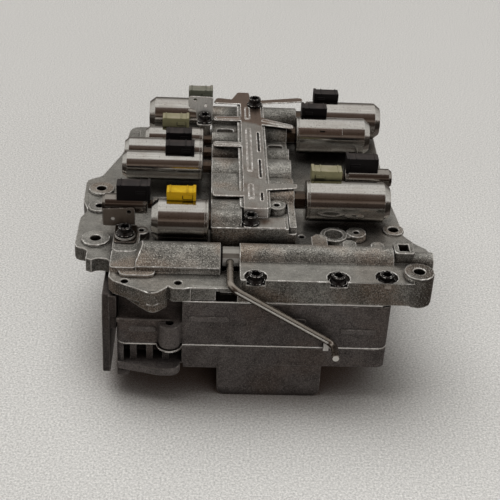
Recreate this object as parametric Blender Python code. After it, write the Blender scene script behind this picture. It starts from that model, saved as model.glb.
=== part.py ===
"""Hydraulic valve body of an automatic gearbox.

Three castings are stacked with steel separator plates between them. A solenoid body stands on the
top casting, holds eight solenoids and carries a stamped retainer. A manual valve slides in a bored
ridge along the front and is moved by a bent link rod. Two more solenoids plug into posts of the
top casting.

Metres. X runs along the manual valve, Y away from its face, Z up. The origin is on the resting face.
"""

import math
from collections import namedtuple

import bmesh
import bpy
from mathutils import Matrix, Vector

# Clearances
GAP = 0.0003
FIT = 0.0003
CUT = 0.001
FLAT_ANGLE = 0.003
ARC_CHORD = 0.0045

# Stack of castings and plates, from the resting face up
BASE_HEIGHT = 0.0292
LOWER_HEIGHT = 0.0167
PLATE_THICKNESS = 0.0012
MIDDLE_HEIGHT = 0.0367
DECK_THICKNESS = 0.0115

# Plan of the lower castings
STACK_LEFT = -0.102
STACK_RIGHT = 0.099
STACK_FRONT = -0.103
STACK_BACK = 0.120
STACK_CORNER = 0.006
BASE_LEFT = -0.027
BASE_RIGHT = 0.0515
BASE_FRONT = -0.102
BASE_BACK = 0.096
BASE_EDGE = 0.006

# Left end of the lower castings: a step, a boss with its hole, and the lug below it
STEP_EDGE = -0.054
STEP_DEPTH = 0.020
STEP_HEIGHT = 0.0190
BOSS_X = -0.063
BOSS_RADIUS = 0.008
BOSS_HOLE = 0.0030
BULGE_MARGIN = 0.0018
LEDGE_HEIGHT = 0.0065
LEDGE_DROP = 0.0050
FOOT_DROP = 0.0120
FOOT_WIDTH = 0.009
RIB_WIDTH = 0.005
RIB_COUNT = 3
RECESS_DEPTH = 0.014

# Raised bars on the front of the middle casting: centre x, height up the face, length
BAR_HEIGHT = 0.0045
BAR_PROUD = 0.0010
BARS = ((-0.0345, 0.023, 0.030), (0.0270, 0.023, 0.020), (0.0760, 0.0145, 0.027), (-0.0830, 0.013, 0.020))

# Left side cover
COVER_THICKNESS = 0.0075
COVER_DROP = 0.012
COVER_FRONT = -0.098
COVER_BACK = 0.040
STRIP_DEPTH = 0.005

# Manual valve, its bore and its ridge
VALVE_Y = -0.069
VALVE_RISE = 0.0055
LAND_RADIUS = 0.0080
WAIST_RADIUS = 0.0050
RIDGE_WALL = 0.0023
WINDOW_LEFT = -0.0270
WINDOW_RIGHT = -0.0130
RIDGE_LEFT = -0.0890
RIDGE_NOSE = 0.0050
APRON_REACH = 0.0163
APRON_RISE = 0.0055
APRON_TURN = 118
VALVE_LENGTH = 0.1060
VALVE_LANDS = ((0.0, 0.274), (0.415, 0.585), (0.755, 1.0))
VALVE_END_GAP = 0.0004
VALVE_CHAMFER = 0.0012
VALVE_ROOM = 0.0176
BORE_WALL = 0.0040
BARREL_LENGTH = 0.0300
BARREL_RADIUS = 0.0073
PLUG_RADIUS = 0.0050
PLUG_NOSE = 0.0036
PLUG_WAIST = 0.0032
LEFT_BORE_DEPTH = 0.012

# Link rod
ROD_RADIUS = 0.0028
ROD_PLANE = -0.1095
ROD_BEND = 0.0060
ROD_HOLE_DEPTH = 0.0035
ROD_END_X = 0.0580
ROD_END_DROP = 0.0480
ROD_END_Y = -0.1270
TAB_WIDTH = 0.0040
TAB_HEIGHT = 0.0080
TAB_REACH = 0.0032

# Back edge of the top casting
DECK_BACK = 0.158

# Front flange, its ledge and its lugs
LEDGE_RISE = 0.0080
LEDGE_BACK = -0.080
SPOT_RISE = 0.0035
SPOT_RADIUS = 0.0084
LUG_RADIUS = 0.0110
LUG_X = 0.1172
LUG_Y = -0.0929
LUG_RISE = 0.0125
LUG_HOLE = 0.0044
PAD_X = -0.075
PAD_RADIUS = 0.0098
PAD_SKIRT = 0.0058
SKIRT_START = 0.0010
NOTCH_LEFT = -0.030
NOTCH_RIGHT = -0.0145
NOTCH_HEIGHT = 0.0078
NOTCH_DEPTH = 0.012

# Bosses on the deck, each with its hole: x, y, radius, rise, hole radius
DECK_BOSSES = (
    (-0.1218, -0.0408, 0.0110, 0.0020, 0.0044),
    (-0.1242, 0.0371, 0.0105, 0.0020, 0.0042),
    (-0.1230, 0.0086, 0.0095, 0.0020, 0.0036),
    (0.1096, -0.0159, 0.0085, 0.0015, 0.0042),
    (-0.0873, -0.0326, 0.0060, 0.0050, 0.0024),
)

# Plain holes through the deck: x, y, radius
DECK_HOLES = ((-0.0960, -0.0960, 0.0030), (-0.0574, -0.0965, 0.0030), (0.0363, -0.0280, 0.0026))

# Open ring and screw boss joined like a figure of eight: x, y, radius, rise, hole radius, hole depth
RING = (0.0605, -0.034, 0.0105, 0.0065, 0.0070, 0.006)
SCREW_BOSS = (0.0785, -0.0285, 0.0078, 0.0055, 0.0024, 0.004)
RING_WEB = 0.0045

# Low rails along the deck: centre x, front, back, half width, rise
RAILS = ((-0.0960, 0.0560, 0.1460, 0.003, 0.003), (0.0960, 0.0560, 0.1460, 0.003, 0.003))

# Blocks behind the valve ridge: left, right, back, rise, corner radius
RIDGE_BLOCKS = (
    (0.0410, 0.0530, -0.0470, 0.0140, 0.004),
    (0.0640, 0.0740, -0.0565, 0.0155, 0.003),
    (0.0850, 0.0950, -0.0575, 0.0150, 0.003),
)

# Low shelf left of the ridge and the mound before it: left, right, front, back, rise, corner radius
RIDGE_SHELF = (-0.1080, -0.0880, -0.0853, -0.0600, 0.0045, 0.003)
RIDGE_MOUND = (-0.1010, -0.0745, -0.0915, -0.0700, 0.0022, 0.005)

# Pad under the front bracket: left, right, front, back, and its rise over the bolt seats
PAD_PLAN = (-0.1080, -0.0880, -0.0640, -0.0260)
BRACKET_PAD_RISE = 0.0015
BRACKET_BOLT = (-0.0990, -0.0450)

# Front bracket: half width of its foot, and its upright plate's reach left and right and its height there
FRONT_FOOT = 0.0085
FRONT_PLATE = (0.0185, 0.0065, 0.0150, 0.0165)
FRONT_PLATE_GAP = 0.0006

# Rear bracket: its foot's reach left, right and to the front, how far back its plate stands, and the
# plate's outline from the bolt as x and height
REAR_FOOT = (0.0070, 0.0060, 0.0065)
REAR_PLATE_BACK = 0.0069
REAR_PLATE = (
    (-0.0075, 0.0, 0.0), (0.0060, 0.0, 0.0), (0.0070, 0.0210, 0.002), (-0.0145, 0.0215, 0.002),
    (-0.0150, 0.0110, 0.003), (-0.0080, 0.0080, 0.002),
)
BRACKET_HOLE = 0.0015

# Key window over the end plug
KEY_SETBACK = 0.0080
KEY_LENGTH = 0.0075
KEY_WIDTH = 0.0095
KEY_WALL = 0.0036
KEY_RISE = 0.0165
KEY_DEPTH = 0.0105
KEY_OFFSET = 0.0020
KEY_THICKNESS = 0.0018
KEY_PLAY = 0.0008

# Flange bolts
BOLT_SHANK = 0.0030
BOLT_LENGTH = 0.0260
SHORT_BOLT_LENGTH = 0.0140
HOLE_SPARE = 0.0010
BOLT_FLANGE = 0.00675
BOLT_FLANGE_HEIGHT = 0.0016
BOLT_HEAD = 0.0052
BOLT_HEAD_HEIGHT = 0.0068
BOLT_SOCKET = 0.0034
BOLT_SOCKET_DEPTH = 0.0030
FRONT_BOLTS = ((-0.0017, -0.0979), (0.0582, -0.0972), (0.0937, -0.0946))
UNDER_BOLTS = (
    (-0.086, -0.060), (-0.086, 0.020), (-0.080, 0.098), (0.082, -0.080), (0.082, 0.010), (0.080, 0.098))

# Solenoid body
BODY_LEFT = -0.0347
BODY_RIGHT = 0.0300
BODY_FRONT = -0.0530
BODY_BACK = 0.1520
BODY_STEP = 0.0210
BODY_FLOOR = 0.0165
BODY_TOP = 0.0292
SPINE_LEFT = -0.0125
SPINE_RIGHT = 0.0105

# Boss on the solenoid body: x, y, radius, hole radius
BODY_BOSS = (0.0155, -0.0265, 0.0070, 0.0026)

# Pockets cast in the solenoid body: left, right, front, back
BODY_POCKETS = (
    (-0.0225, -0.0155, -0.0200, -0.0125), (-0.0300, -0.0160, 0.1080, 0.1240), (0.0140, 0.0260, 0.0860, 0.0950),
)
POCKET_DEPTH = 0.005

# Solenoids
SOLENOID_RISE = 0.0200
SLEEVE_SHARE = 0.45
SLEEVE_DEPTH = 0.014
BARREL_WALL = 0.0025
POST_GAP = 0.004
CAN_CHAMFER = 0.0050
CAN_SIDES = 18
SLEEVE_SIDES = 10
SOCKET_WALL = 0.0013
SOCKET_FLOOR = 0.0010
SOCKET_DEPTH = 0.0110
SOCKET_WRAP = 0.70
SOCKET_BACK = 0.0060
BLADE = 0.0008
BLADE_LENGTH = 0.0040

# Post that carries the rear bracket
POST_X = -0.0410
POST_Y = 0.1175
POST_RADIUS = 0.0050
POST_RISE = 0.0252

# Retainer stamping
RETAINER_THICKNESS = 0.0012
RETAINER_LEFT = -0.0100
RETAINER_RIGHT = 0.0085
RETAINER_FRONT = -0.0400
RETAINER_BACK = 0.1560
FOOT_FRONT = -0.0545
FOOT_RIGHT = 0.0215
BEAD_HEIGHT = 0.0008
ARM_WIDTH = 0.0085
ARM_TIP = -0.0335
LEFT_ARMS = (-0.0215, 0.0630, 0.1125)
FOOT_BOLT = (-0.0048, -0.0475)
REAR_BOLT = (0.0030, 0.1450)
BEADS = ((0.0190, 0.0965), (-0.0260, -0.0030), (0.1150, 0.1390))
SLOTS = ((0.0530, 0.0900), (0.0080, 0.0400), (-0.0290, -0.0150))
BEAD_X = -0.0040
SLOT_X = 0.0042
BEAD_WIDTH = 0.0034
SLOT_WIDTH = 0.0024

# The retainer's other arms, as corners (x, y, corner radius): rear left, tail, front right, rear right and
# middle right
RETAINER_ARMS = (
    ((-0.0090, 0.1470, 0), (-0.0090, 0.1550, 0), (-0.0310, 0.1590, 0.003), (-0.0340, 0.1480, 0.002)),
    ((-0.0190, 0.1530, 0.001), (0.0000, 0.1530, 0.001), (-0.0015, 0.1720, 0.001), (-0.0120, 0.1720, 0.001)),
    ((0.0075, 0.0000, 0), (0.0075, -0.0105, 0), (0.0320, -0.0065, 0.002), (0.0325, 0.0010, 0.002)),
    ((0.0075, 0.1490, 0), (0.0470, 0.1560, 0.004), (0.0470, 0.1650, 0.004), (0.0075, 0.1560, 0)),
    ((0.0075, 0.1210, 0), (0.0075, 0.1060, 0), (0.0350, 0.1000, 0.002), (0.0355, 0.1060, 0.002)),
)

# Two pressure regulator valves in the middle casting
REGULATOR_RADIUS = 0.0060
REGULATOR_SIDES = 10
REGULATOR_WAIST = 0.0036
REGULATOR_LANDS = (0.0, 0.011, 0.021, 0.040)
REGULATOR_ROWS = (-0.036, 0.028)
REGULATOR_BORE_END = 0.020
REGULATOR_PLUG = 0.009
REGULATOR_NECK = 0.002
SPRING_WIRE = 0.0009
SPRING_TURNS = 4

# Levels worked out from the stack
LOWER_Z = BASE_HEIGHT + GAP
LOWER_TOP = LOWER_Z + LOWER_HEIGHT
LOWER_PLATE_Z = LOWER_TOP + GAP
MIDDLE_Z = LOWER_PLATE_Z + PLATE_THICKNESS + GAP
MIDDLE_TOP = MIDDLE_Z + MIDDLE_HEIGHT
UPPER_PLATE_Z = MIDDLE_TOP + GAP
UPPER_Z = UPPER_PLATE_Z + PLATE_THICKNESS + GAP
DECK = UPPER_Z + DECK_THICKNESS
LEDGE_TOP = DECK + LEDGE_RISE
SPOT_Z = DECK + SPOT_RISE
VALVE_Z = DECK + VALVE_RISE
BORE_RADIUS = LAND_RADIUS + FIT
RIDGE_RADIUS = BORE_RADIUS + RIDGE_WALL
BODY_Z = DECK + GAP
SOLENOID_Z = DECK + SOLENOID_RISE
BODY_TOP_Z = BODY_Z + BODY_TOP
BODY_STEP_Z = BODY_Z + BODY_STEP
RETAINER_Z = BODY_TOP_Z + GAP
POST_Z = DECK + POST_RISE
BOLT_HOLE = BOLT_SHANK + FIT
ROD_X = (WINDOW_LEFT + WINDOW_RIGHT) / 2
ROD_END_Z = VALVE_Z - ROD_END_DROP
REGULATOR_Z = MIDDLE_Z + MIDDLE_HEIGHT / 2
VALVE_START = WINDOW_LEFT + VALVE_END_GAP
VALVE_BORE_END = VALVE_START + VALVE_LENGTH + VALVE_ROOM
RIDGE_RIGHT = VALVE_BORE_END + BORE_WALL
BARREL_END = RIDGE_RIGHT + BARREL_LENGTH
KEY_X = RIDGE_RIGHT + KEY_SETBACK
KEY_Y = VALVE_Y + KEY_OFFSET
PLUG_START = KEY_X - KEY_LENGTH / 2 - PLUG_NOSE
KEY_FLOOR_Z = DECK + KEY_RISE - KEY_DEPTH
PAD_Z = SPOT_Z + BRACKET_PAD_RISE
FOOT_Z = BODY_STEP_Z + GAP
RETAINER_TOP_Z = RETAINER_Z + RETAINER_THICKNESS

# A solenoid's side is -1 for the left and 1 for the right. Its socket starts at an x, has a width, rises
# over the can and begins some way behind the can's axis. Reach is how far the barrel of the solenoid body
# comes out to meet a large can, or how long the post of a small one is.
Solenoid = namedtuple(
    "Solenoid", "name side y radius nose length socket_start socket_width socket_rise socket_front reach")

LARGE_SOLENOIDS = tuple(Solenoid(*row) for row in (
    ("left_rear", -1, 0.1420, 0.0160, -0.0375, 0.0525, -0.0345, 0.0215, 0.0060, 0.0065, 0.0),
    ("left_fourth", -1, 0.0940, 0.0107, -0.0420, 0.0492, -0.0545, 0.0225, 0.0083, 0.0015, 0.0),
    ("left_third", -1, 0.0698, 0.0118, -0.0420, 0.0650, -0.0515, 0.0215, 0.0078, -0.0035, 0.0),
    ("left_second", -1, 0.0455, 0.0118, -0.0420, 0.0652, -0.0490, 0.0235, 0.0075, -0.0017, 0.0),
    ("left_front", -1, -0.0415, 0.0160, -0.0365, 0.0425, -0.0462, 0.0220, 0.0072, 0.0009, 0.0),
    ("right_rear", 1, 0.1425, 0.0160, 0.0490, 0.0660, 0.0560, 0.0220, 0.0060, 0.0067, 0.010),
    ("right_middle", 1, 0.1100, 0.0160, 0.0380, 0.0640, 0.0430, 0.0220, 0.0066, 0.0069, 0.0),
    ("right_front", 1, -0.0060, 0.0160, 0.0390, 0.0660, 0.0435, 0.0240, 0.0060, 0.0075, 0.0),
))

# Small solenoids plug into posts of the top casting
SMALL_SOLENOIDS = tuple(Solenoid(*row) for row in (
    ("left_switch", -1, -0.0190, 0.0077, -0.0835, 0.0345, -0.0812, 0.0256, 0.0110, -0.0055, 0.016),
    ("right_switch", 1, 0.0340, 0.0080, 0.0735, 0.0385, 0.0740, 0.0260, 0.0112, -0.0045, 0.018),
))

COLOURS = {
    "cast_light": ((0.42, 0.40, 0.38), 0.55, 0.7),
    "cast_dark": ((0.17, 0.16, 0.155), 0.55, 0.6),
    "steel": ((0.55, 0.52, 0.50), 0.28, 1.0),
    "plate": ((0.34, 0.32, 0.31), 0.35, 0.9),
    "black_bolt": ((0.03, 0.03, 0.03), 0.35, 0.8),
    "black_plastic": ((0.02, 0.02, 0.022), 0.45, 0.0),
    "yellow_plastic": ((0.80, 0.58, 0.02), 0.45, 0.0),
    "olive_plastic": ((0.33, 0.31, 0.22), 0.5, 0.0),
    "grey_plastic": ((0.22, 0.22, 0.19), 0.5, 0.0),
    "sleeve": ((0.20, 0.15, 0.12), 0.4, 0.8),
}


def clear_scene():
    for item in list(bpy.data.objects):
        bpy.data.objects.remove(item)


def object_from(bm, name):
    """A mesh object of the finished bmesh, with its faces turned outwards."""
    bmesh.ops.recalc_face_normals(bm, faces=bm.faces)
    mesh = bpy.data.meshes.new(name)
    bm.to_mesh(mesh)
    bm.free()
    item = bpy.data.objects.new(name, mesh)
    bpy.context.scene.collection.objects.link(item)
    return item


def arc(centre_x, centre_y, radius, start, end, steps):
    """Points on an arc between two angles in degrees, both ends included."""
    angles = [math.radians(start + (end - start) * k / steps) for k in range(steps + 1)]
    return [(centre_x + radius * math.cos(a), centre_y + radius * math.sin(a)) for a in angles]


def rounded(corners, steps=None):
    """Outline through (x, y, radius) corners, each turned into an arc where its radius is above nought."""
    outline = []
    for index, (x, y, radius) in enumerate(corners):
        here = Vector((x, y))
        before = Vector(corners[index - 1][:2]) - here
        after = Vector(corners[(index + 1) % len(corners)][:2]) - here
        if radius <= 0:
            outline.append((x, y))
            continue
        half = before.angle(after) / 2
        setback = min(radius / math.tan(half), 0.48 * before.length, 0.48 * after.length)
        radius = setback * math.tan(half)
        start = here + before.normalized() * setback
        end = here + after.normalized() * setback
        centre = here + (before.normalized() + after.normalized()).normalized() * (radius / math.sin(half))
        first = math.atan2(start.y - centre.y, start.x - centre.x)
        last = math.atan2(end.y - centre.y, end.x - centre.x)
        turn = (last - first + math.pi) % (2 * math.pi) - math.pi
        count = steps or max(1, round(radius * abs(turn) / ARC_CHORD))
        outline += arc(centre.x, centre.y, radius, math.degrees(first), math.degrees(first + turn), count)
    return outline


def box_outline(left, right, front, back, radius=0.0, steps=None):
    corners = ((left, front), (right, front), (right, back), (left, back))
    return rounded([(x, y, radius) for x, y in corners], steps)


def stadium(x, front, back, width, steps=4):
    """A slot outline along y with round ends."""
    half = width / 2
    return arc(x, back - half, half, 0, 180, steps) + arc(x, front + half, half, 180, 360, steps)


def prism(outline, low, high, axis="Z"):
    """The outline carried along an axis: (x, y) for Z, (y, z) for X and (x, z) for Y."""
    places = {"Z": lambda u, v, w: (u, v, w), "X": lambda u, v, w: (w, u, v), "Y": lambda u, v, w: (u, w, v)}
    place = places[axis]
    bm = bmesh.new()
    floor = [bm.verts.new(place(u, v, low)) for u, v in outline]
    face = bm.faces.new(floor)
    swept = bmesh.ops.extrude_face_region(bm, geom=[face])
    offset = Vector(place(0, 0, high - low))
    bmesh.ops.translate(bm, vec=offset, verts=[v for v in swept["geom"] if isinstance(v, bmesh.types.BMVert)])
    return object_from(bm, "piece")


def block(left, right, front, back, low, high, radius=0.0, steps=None):
    return prism(box_outline(left, right, front, back, radius, steps), low, high)


def turned(profile, origin, axis, sides):
    """A closed turned solid: profile of (distance along the axis, radius) from the origin."""
    bm = bmesh.new()
    turn = Vector((0, 0, 1)).rotation_difference(Vector(axis)).to_matrix()
    rings = []
    for along, radius in profile:
        ring = []
        for k in range(sides):
            angle = 2 * math.pi * (k + 0.5) / sides
            point = turn @ Vector((radius * math.cos(angle), radius * math.sin(angle), along))
            ring.append(bm.verts.new(Vector(origin) + point))
        rings.append(ring)
    for first, second in zip(rings, rings[1:]):
        for k in range(sides):
            bm.faces.new((first[k], first[(k + 1) % sides], second[(k + 1) % sides], second[k]))
    bm.faces.new(rings[0])
    bm.faces.new(rings[-1])
    return object_from(bm, "piece")


def rod(start, end, radius, sides=12):
    axis = Vector(end) - Vector(start)
    return turned(((0, radius), (axis.length, radius)), start, axis.normalized(), sides)


def upright(x, y, low, high, radius, sides=12):
    return rod((x, y, low), (x, y, high), radius, sides)


def carried(points, radius, sides):
    """A round bar carried along points, its ring kept square to the path."""
    bm = bmesh.new()
    path = [Vector(p) for p in points]
    rings = []
    side = None
    for index, here in enumerate(path):
        ahead = path[min(index + 1, len(path) - 1)] - path[max(index - 1, 0)]
        ahead.normalize()
        if side is None:
            side = ahead.orthogonal().normalized()
        side = (side - ahead * side.dot(ahead)).normalized()
        other = ahead.cross(side)
        turn = [2 * math.pi * k / sides for k in range(sides)]
        rings.append([bm.verts.new(here + (side * math.cos(a) + other * math.sin(a)) * radius) for a in turn])
    for first, second in zip(rings, rings[1:]):
        for k in range(sides):
            bm.faces.new((first[k], first[(k + 1) % sides], second[(k + 1) % sides], second[k]))
    bm.faces.new(rings[0])
    bm.faces.new(rings[-1])
    return object_from(bm, "piece")


def bake(item):
    """Replace the mesh by what its modifiers make, with faces that lie in one plane merged."""
    evaluated = item.evaluated_get(bpy.context.evaluated_depsgraph_get())
    mesh = bpy.data.meshes.new_from_object(evaluated)
    item.modifiers.clear()
    bm = bmesh.new()
    bm.from_mesh(mesh)
    bmesh.ops.dissolve_limit(bm, angle_limit=FLAT_ANGLE, verts=bm.verts, edges=bm.edges)
    bm.to_mesh(mesh)
    bm.free()
    item.data = mesh


def boolean(item, others, operation):
    for other in others:
        modifier = item.modifiers.new("shape", "BOOLEAN")
        modifier.operation = operation
        modifier.solver = "EXACT"
        modifier.object = other
    bake(item)
    for other in others:
        bpy.data.objects.remove(other)


def shape(item, add=(), remove=()):
    if add:
        boolean(item, add, "UNION")
    if remove:
        boolean(item, remove, "DIFFERENCE")
    return item


def finish(item, name, colour, smooth=35):
    """Name the object, shade it and give it its own material."""
    item.name = name
    item.data.name = name
    item.data.shade_smooth()
    item.data.set_sharp_from_angle(angle=math.radians(smooth))
    rgb, roughness, metallic = COLOURS[colour]
    material = bpy.data.materials.new(name)
    material.use_nodes = True
    shader = material.node_tree.nodes["Principled BSDF"]
    shader.inputs["Base Color"].default_value = (*rgb, 1)
    shader.inputs["Roughness"].default_value = roughness
    shader.inputs["Metallic"].default_value = metallic
    item.data.materials.clear()
    item.data.materials.append(material)
    return item


def set_origin(item, point):
    """Move the object's origin to a point, with its mesh staying where it is."""
    item.data.transform(Matrix.Translation(-Vector(point)))
    item.location = point
    return item


def base_housing():
    """The smooth box under the stack, with its long lower edges rounded."""
    outline = rounded((
        (BASE_LEFT, 0, BASE_EDGE), (BASE_RIGHT, 0, BASE_EDGE),
        (BASE_RIGHT, BASE_HEIGHT, 0), (BASE_LEFT, BASE_HEIGHT, 0)), 4)
    box = prism(outline, BASE_FRONT, BASE_BACK, "Y")
    return finish(box, "base_housing", "cast_dark")


def stack_outline():
    return box_outline(STACK_LEFT, STACK_RIGHT, STACK_FRONT, STACK_BACK, STACK_CORNER, 3)


def boss_front(low, high, margin=0.0):
    """The round-fronted boss on the left of the front face."""
    radius = BOSS_RADIUS + margin
    outline = arc(BOSS_X, STACK_FRONT, radius, 180, 360, 10)
    outline += [(BOSS_X + radius, STACK_FRONT + 0.010), (BOSS_X - radius, STACK_FRONT + 0.010)]
    return prism(outline, low, high)


def lower_body():
    body = prism(stack_outline(), LOWER_Z, LOWER_TOP)
    ledge = rounded((
        (STACK_LEFT, STACK_FRONT + 0.03, 0), (STACK_LEFT, STACK_FRONT - 0.001, 0.002),
        (BOSS_X - BOSS_RADIUS, STACK_FRONT - BOSS_RADIUS - 0.001, BOSS_RADIUS),
        (BOSS_X + BOSS_RADIUS, STACK_FRONT - BOSS_RADIUS - 0.001, BOSS_RADIUS),
        (BOSS_X + BOSS_RADIUS, STACK_FRONT + 0.03, 0)), 4)
    ledge_low = LOWER_Z - LEDGE_DROP
    ledge_high = ledge_low + LEDGE_HEIGHT
    step = block(STEP_EDGE + 0.001, BASE_LEFT - 0.0005, STACK_FRONT, STACK_BACK - 0.02,
                 LOWER_Z - 0.0035, LOWER_Z + CUT)
    foot = block(STACK_LEFT, STACK_LEFT + FOOT_WIDTH, STACK_FRONT, STACK_FRONT + 0.022,
                 LOWER_Z - FOOT_DROP, LOWER_Z + CUT, 0.002, 2)
    rear_foot = block(STACK_LEFT, STACK_LEFT + FOOT_WIDTH, STACK_BACK - 0.022, STACK_BACK,
                      LOWER_Z - FOOT_DROP, LOWER_Z + CUT, 0.002, 2)
    recess = block(STACK_LEFT + 0.005, STEP_EDGE, STACK_FRONT - 0.02, STACK_FRONT + RECESS_DEPTH, ledge_high,
                   LOWER_TOP + CUT)
    shape(body, add=[step, foot, rear_foot, prism(ledge, ledge_low, ledge_high)], remove=[recess])
    pitch = (STEP_EDGE - STACK_LEFT) / (RIB_COUNT + 1)
    ribs = []
    for k in range(RIB_COUNT):
        x = STACK_LEFT + pitch * (k + 1)
        ribs.append(block(x - RIB_WIDTH / 2, x + RIB_WIDTH / 2, STACK_FRONT + 0.003,
                          STACK_FRONT + RECESS_DEPTH + CUT, ledge_high - CUT, LOWER_TOP))
    heads = []
    for x, y in UNDER_BOLTS:
        profile = ((-CUT, BOLT_FLANGE), (BOLT_FLANGE_HEIGHT, BOLT_HEAD), (BOLT_HEAD_HEIGHT, BOLT_HEAD * 0.94))
        heads.append(turned(profile, (x, y, LOWER_Z), (0, 0, -1), 6))
    shape(body, add=ribs + heads)
    return finish(body, "lower_body", "cast_dark")


def lower_separator_plate():
    """Steel plate with a bulge round the boss and a bent-up tab that stops the link rod."""
    plate = prism(stack_outline(), LOWER_PLATE_Z, LOWER_PLATE_Z + PLATE_THICKNESS)
    tab_x = ROD_END_X - ROD_RADIUS - FIT - TAB_WIDTH / 2
    tab_left = tab_x - TAB_WIDTH / 2
    tab_right = tab_x + TAB_WIDTH / 2
    tab_front = STACK_FRONT - TAB_REACH
    low = LOWER_PLATE_Z
    high = LOWER_PLATE_Z + PLATE_THICKNESS
    reach = block(tab_left, tab_right, tab_front, STACK_FRONT + CUT, low, high)
    tab = block(tab_left, tab_right, tab_front, tab_front + PLATE_THICKNESS, low, low + TAB_HEIGHT)
    shape(plate, add=[boss_front(low, high, BULGE_MARGIN), reach, tab])
    return finish(plate, "lower_separator_plate", "plate")


def bar_on_front(x, rise, length):
    """A shallow oblong bar cast on the front face."""
    z = MIDDLE_Z + rise
    half = BAR_HEIGHT / 2
    outline = arc(x + length / 2 - half, z, half, -90, 90, 4)
    outline += arc(x - length / 2 + half, z, half, 90, 270, 4)
    return prism(outline, STACK_FRONT - BAR_PROUD, STACK_FRONT + CUT, "Y")


def middle_body():
    body = prism(stack_outline(), MIDDLE_Z, MIDDLE_TOP)
    step_z = MIDDLE_Z + STEP_HEIGHT
    step = block(STACK_LEFT - 0.01, STEP_EDGE, STACK_FRONT - 0.02, STACK_FRONT + STEP_DEPTH,
                 step_z, MIDDLE_TOP + CUT)
    shape(body, remove=[step])
    rim = block(STACK_LEFT, BOSS_X, STACK_FRONT, STACK_FRONT + 0.0025, step_z - CUT, step_z + 0.0022)
    bars = [bar_on_front(*bar) for bar in BARS]
    boss = boss_front(MIDDLE_Z, step_z)
    boss_hole = upright(BOSS_X, STACK_FRONT, step_z - 0.012, step_z + CUT, BOSS_HOLE, 12)
    bores = [rod((REGULATOR_BORE_END, y, REGULATOR_Z), (STACK_RIGHT + CUT, y, REGULATOR_Z),
                 REGULATOR_RADIUS + FIT, REGULATOR_SIDES) for y in REGULATOR_ROWS]
    hole_low = SPOT_Z - BOLT_LENGTH - HOLE_SPARE
    top_holes = [upright(x, y, hole_low, MIDDLE_TOP + CUT, BOLT_HOLE, 10) for x, y in FRONT_BOLTS]
    shape(body, add=[rim, boss] + bars, remove=[boss_hole] + bores + top_holes)
    return finish(body, "middle_body", "cast_dark")


def upper_separator_plate():
    plate = block(STACK_LEFT + 0.001, STACK_RIGHT - 0.001, STACK_FRONT + 0.0005, STACK_BACK,
                  UPPER_PLATE_Z, UPPER_PLATE_Z + PLATE_THICKNESS, STACK_CORNER)
    low = UPPER_PLATE_Z - CUT
    holes = [upright(x, y, low, UPPER_Z + CUT, BOLT_HOLE, 10) for x, y in FRONT_BOLTS]
    corner = block(STACK_LEFT - 0.01, STEP_EDGE, STACK_FRONT - 0.02, STACK_FRONT + STEP_DEPTH,
                   low, UPPER_Z + CUT)
    shape(plate, remove=holes + [corner])
    return finish(plate, "upper_separator_plate", "plate")


def deck_outline():
    """Plan of the top casting, anticlockwise from the front right."""
    front = STACK_FRONT
    return rounded((
        (0.1100, front, 0.0), (0.1300, -0.084, 0.004), (0.1325, -0.068, 0.006), (0.1340, -0.044, 0.007),
        (0.1240, -0.034, 0.006), (0.1165, -0.022, 0.006), (0.1160, 0.000, 0.010),
        (0.1125, 0.040, 0.010), (0.1130, 0.100, 0.008), (0.1140, DECK_BACK, 0.010),
        (-0.1080, DECK_BACK, 0.010), (-0.1120, 0.104, 0.008),
        (-0.1260, 0.061, 0.006), (-0.1380, 0.054, 0.007), (-0.1370, 0.018, 0.006), (-0.1320, 0.004, 0.004),
        (-0.1370, -0.008, 0.005), (-0.1370, -0.052, 0.008), (-0.1270, -0.054, 0.003), (-0.1270, -0.072, 0.004),
        (-0.1180, -0.066, 0.004), (-0.1080, -0.068, 0.004), (-0.1080, -0.094, 0.006),
        (PAD_X - PAD_RADIUS, front - 0.0035, 0.004), (PAD_X, front - PAD_RADIUS, PAD_RADIUS),
        (PAD_X + PAD_RADIUS, front, 0.003), (-0.0645, front + 0.003, 0.001), (-0.0625, front - 0.0012, 0.003),
        (-0.0520, front - 0.0012, 0.003), (-0.0500, front, 0.001)))


def skirt():
    """The lug that hangs under the round pad, deeper towards the pad."""
    front = STACK_FRONT
    outline = rounded((
        (STACK_LEFT + CUT, -0.0935, 0.0), (PAD_X - PAD_RADIUS, front - 0.0035, 0.004),
        (PAD_X, front - PAD_RADIUS, PAD_RADIUS),
        (PAD_X + PAD_RADIUS, front, 0.0), (PAD_X + PAD_RADIUS, -0.0895, 0.0)), 3)
    body = prism(outline, UPPER_Z - PAD_SKIRT, UPPER_Z + CUT)
    slope = prism(((STACK_LEFT, UPPER_Z - SKIRT_START), (STACK_LEFT, UPPER_Z - 0.05),
                   (PAD_X, UPPER_Z - 0.05), (PAD_X, UPPER_Z - PAD_SKIRT)), -0.13, -0.08, "Y")
    return shape(body, remove=[slope])


def ridge(left, right):
    """A stretch of the valve ridge: a round top on a straight foot that reaches the deck."""
    outline = arc(VALVE_Y, VALVE_Z, RIDGE_RADIUS, 0, 180, 9)
    outline += [(VALVE_Y - RIDGE_RADIUS, DECK - CUT), (VALVE_Y + RIDGE_RADIUS, DECK - CUT)]
    return prism(outline, left, right, "X")


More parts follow.
